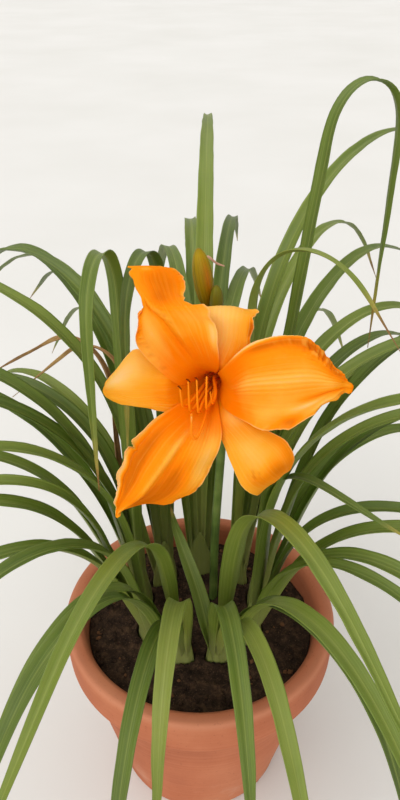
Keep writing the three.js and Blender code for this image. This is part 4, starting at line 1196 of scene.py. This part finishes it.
def ridged(tepal, number, u, v):
    """Ridges, valleys and fine ribs that run along the tepal, and the painted shading that goes with them:
    painted highlight on the ridges and the crests of the ribs, painted shade in the valleys and between the
    ribs.
    """
    lift = np.zeros_like(u * v)
    for wide, size, places in tepal["ridges"]:
        path_u, path_v = zip(*places)
        middle = curve_through(path_u, path_v, u)
        lift = lift + size * window(path_u[0], path_u[-1], u, 0.1) * hump(v, middle, wide)
    count, at_v, wide, size = tepal["ribs"]
    ribs = np.cos(2 * math.pi * count * v + 1.2 * ripple(number * 40, u * 2, v)) * hump(v, at_v, wide)
    ribs = size * ribs * smoothstep(0.2, 0.36, u) * (1 - smoothstep(0.75, 0.98, u))
    # The second value is painted shading: lighter on ridges and rib crests, darker in valleys and between
    # ribs.
    return lift + ribs, 0.6 * lift + 2 * ribs


def crimped(seed, start, end, waves, u, v, depth):
    """Fine folds across a margin: uneven in their spacing, their slant and their size."""
    wobble = ripple(seed, u * 14, v * 2)
    phase = 2 * math.pi * waves * (u - start) / (end - start)
    folds = np.sin(phase + 3.4 * wobble - 2.5 * depth) + 0.4 * np.sin(1.9 * phase + 3 * wobble + 2 * depth)
    folds = folds * (0.7 + 0.4 * ripple(seed + 1, u * 22, v * 3))
    return 0.4 * folds + 0.8 * ripple(seed + 2, u * waves * 2.8, v * 3.5)


def crinkled(tepal, number, u, v, half):
    """Crimps along the margins and blistered patches."""
    relief = np.zeros_like(u * v)
    for k, (margin, start, end, size, waves, share, edge) in enumerate(tepal["crimps"]):
        reach = share[0] + (share[1] - share[0]) * np.clip((u - start) / (end - start), 0, 1)
        t = np.clip((margin * v - 1 + reach) / reach, 0, 1)
        weight = (1 - edge) * np.sin(math.pi * t) ** 0.7 + edge * smoothstep(0, 1, t)
        weight = weight * window(start, end, u) * np.minimum(half / 12, 1)
        relief = relief + size * weight * crimped(number * 50 + 5 * k, start, end, waves, u, v, t)
    for at_u, at_v, wide_u, wide_v, size in tepal["blisters"]:
        patch = hump(u, at_u, wide_u) * hump(v, at_v, wide_v)
        relief = relief + size * patch * ripple(number * 90, u * 34, v * 11)
    return relief


def make_tepal(tepal, number, finish):
    rows, columns = PETAL_GRID if tepal["inner"] else SEPAL_GRID
    u = np.linspace(0, 1, rows + 1)[:, None]
    v = np.sin(np.linspace(-1, 1, columns + 1)[None, :] * EDGE_CROWDING) / math.sin(EDGE_CROWDING)
    control = curve(tepal_grid(tepal), u[:, 0])
    before, middle, after = (control[:, k][:, None] for k in range(3))
    half = np.maximum(np.linalg.norm(after - before, axis=-1) / 2, 0.5)
    spread, shift = nicked(tepal, number, u, v)
    spread, lift = rolled(tepal, u, v, spread, half)
    soft = np.sqrt(spread**2 + FOLD_SOFTNESS) - math.sqrt(FOLD_SOFTNESS)
    bow = (1 - tepal["fold"]) * spread**2 + tepal["fold"] * soft
    arm = (after - before) / 2
    cup = (after + before) / 2 - middle
    face = middle + spread[..., None] * arm + bow[..., None] * cup
    face = face + shift[..., None] * unit(np.gradient(control[:, 1], axis=0))[:, None]
    relief = crinkled(tepal, number, u, v, half)
    ridges, shade = ridged(tepal, number, u, v)
    lift = lift + ruffled(tepal, number, u, v) + ridges
    grid = face + (lift + relief)[..., None] * grid_normals(face)
    # Patches of painted shade and painted highlight, with some of the tepal's own deeper and paler orange.
    for at_u, at_v, wide_u, wide_v, amount in tepal["shades"]:
        shade = shade + amount * hump(u, at_u, wide_u) * hump(v, at_v, wide_v)
    thick = TEPAL_THICKNESS * (0.45 + 0.55 * (1 - np.abs(v) ** 6)) * (0.6 + 0.4 * (1 - u**8))
    body = Body()
    body.sheet(grid, thick, along=u, across=v, tone=number / 7, relief=relief, shade=shade)
    body.build(tepal["name"] + "_blade", finish, tepal["name"])


def make_tepals():
    # Besides the tepals' own colours, light and rim also serve as painted highlight, heart and the deepest
    # colour as painted shade, and the paler throat partly as painted light against the shade deep in the
    # throat.
    petal = tepal_finish(
        "petal_flesh", throat=(255, 148, 0), deep_tone_and_painted_shade=(206, 106, 0), heart=(254, 133, 0), main=(254, 155, 14),
        light=(254, 190, 74), rim=(254, 212, 142),
    )
    sepal = tepal_finish(
        "sepal_flesh", throat=(255, 158, 0), deep_tone_and_painted_shade=(210, 114, 0), heart=(252, 144, 0), main=(254, 176, 44),
        light=(254, 206, 104), rim=(254, 216, 146),
    )
    for number, tepal in enumerate(TEPALS, 1):
        make_tepal(tepal, number, petal if tepal["inner"] else sepal)


def make_tube():
    finish = stem_finish("tube_skin", (150, 130, 40), (190, 160, 52), (214, 176, 70), (246, 130, 6))
    rings = spindle_rings(FLOWER_FOOT, FLOWER_AXIS, TUBE_PROFILE, TUBE_SIDES, 50,
                          lambda u, angle: 0.03 * turned(3 * angle)[0])
    u = np.linspace(0, 1, len(rings))[:, None]
    body = Body()
    body.rings(rings, along=u, across=np.linspace(-2, 2, TUBE_SIDES), tone=smoothstep(0.6, 1, u))
    body.build("floral_tube_wall", finish, "floral_tube")


def add_anther(body, head, facing, lie):
    """A pollen sac with a groove on each side, bent back at both ends, across the filament's head."""
    along = unit(bloom_point(lie) - BLOOM_CENTRE)
    along = unit(along - along.dot(facing) * facing)
    over = np.cross(along, facing)
    s = np.linspace(-1, 1, 25)[:, None]
    turn = around(20)
    groove = hump(np.sin(turn), 1, 0.12) + hump(np.sin(turn), -1, 0.12)
    girth = 0.72 * ANTHER_RADIUS * np.sqrt(np.maximum(1 - s**4, 0.004)) * (1 - 0.28 * groove)
    bend = 0.2 - 0.8 * s**2
    rings = (
        head + (ANTHER_RADIUS + GAP) * facing + (ANTHER_HALF_LENGTH * s + 0 * turn)[..., None] * along
        + (girth * np.cos(turn))[..., None] * over + (girth * np.sin(turn) + bend)[..., None] * facing
    )
    body.rings(rings[:, ::-1], along=s, across=turn[::-1], relief=-groove[::-1])


def make_stamens():
    orange = thread_finish("filament_flesh", (250, 138, 0), (254, 150, 10), (254, 156, 26))
    dark = anther_finish()
    for number, (angle, points, lie) in enumerate(STAMENS, 1):
        path = [flower_point(GAP, 3, angle), flower_point(16, 3.8, angle), *bloom_point(points)]
        filament = Body()
        filament.tube(path, FILAMENT_RADII, 14, 60)
        filament.build(f"filament_{number}_thread", orange, f"filament_{number}")
        anther = Body()
        add_anther(anther, path[-1], unit(path[-1] - path[-2]), lie)
        anther.build(f"anther_{number}_sac", dark, f"anther_{number}")


def make_pistil():
    finish = thread_finish("pistil_flesh", (236, 118, 0), (250, 142, 14), (254, 184, 88))
    path = [flower_point(GAP), flower_point(16, 5.4, 316), *bloom_point(PISTIL_POINTS)]
    tangent = unit(path[-1] - path[-2])
    body = Body()
    body.tube(path, STYLE_RADII, 14, 110)
    body.tube([path[-1] + tangent * place for place in STIGMA_PLACES], STIGMA_RADII, 18, 16)
    body.build("pistil_style", finish, "pistil")


# ---- Floor, light and camera ----

def aimed(data, place, target):
    item = placed(data.name, data)
    item.location = place
    item.rotation_euler = (Vector(target) - Vector(place)).to_track_quat("-Z", "Y").to_euler()
    return item


def make_camera():
    lens = bpy.data.cameras.new("photo_camera")
    lens.sensor_fit = "AUTO"
    lens.sensor_width = CAMERA_SENSOR
    lens.lens = CAMERA_LENS
    lens.clip_start = 0.01
    place = (BLOOM_CENTRE + CAMERA_DISTANCE * BLOOM_NEAR) * MM
    bpy.context.scene.camera = aimed(lens, place, BLOOM_CENTRE * MM)


def make_floor():
    mesh = bpy.data.meshes.new("floor")
    corners = [(FLOOR_REACH * math.cos(a), FLOOR_REACH * math.sin(a), 0) for a in around(FLOOR_SIDES)]
    mesh.from_pydata(corners, [], [tuple(range(FLOOR_SIDES))])
    mesh.materials.append(floor_finish())
    placed("floor", mesh)


def make_light():
    world = bpy.data.worlds.new("studio")
    world.use_nodes = True
    sky = world.node_tree.nodes["Background"]
    sky.inputs["Color"].default_value = SKY_COLOUR
    sky.inputs["Strength"].default_value = SKY_STRENGTH
    bpy.context.scene.world = world
    for name, (strength, softness, place) in SUNS.items():
        lamp = bpy.data.lights.new(name, "SUN")
        lamp.energy = strength
        lamp.angle = math.radians(softness)
        aimed(lamp, place, (0, 0, 0))
    bpy.context.scene.view_settings.view_transform = "Standard"


make_camera()
make_floor()
make_light()
make_pot()
make_soil(make_fans())
make_withered_leaves()
make_scape()
make_bract()
make_buds()
make_tepals()
make_tube()
make_stamens()
make_pistil()
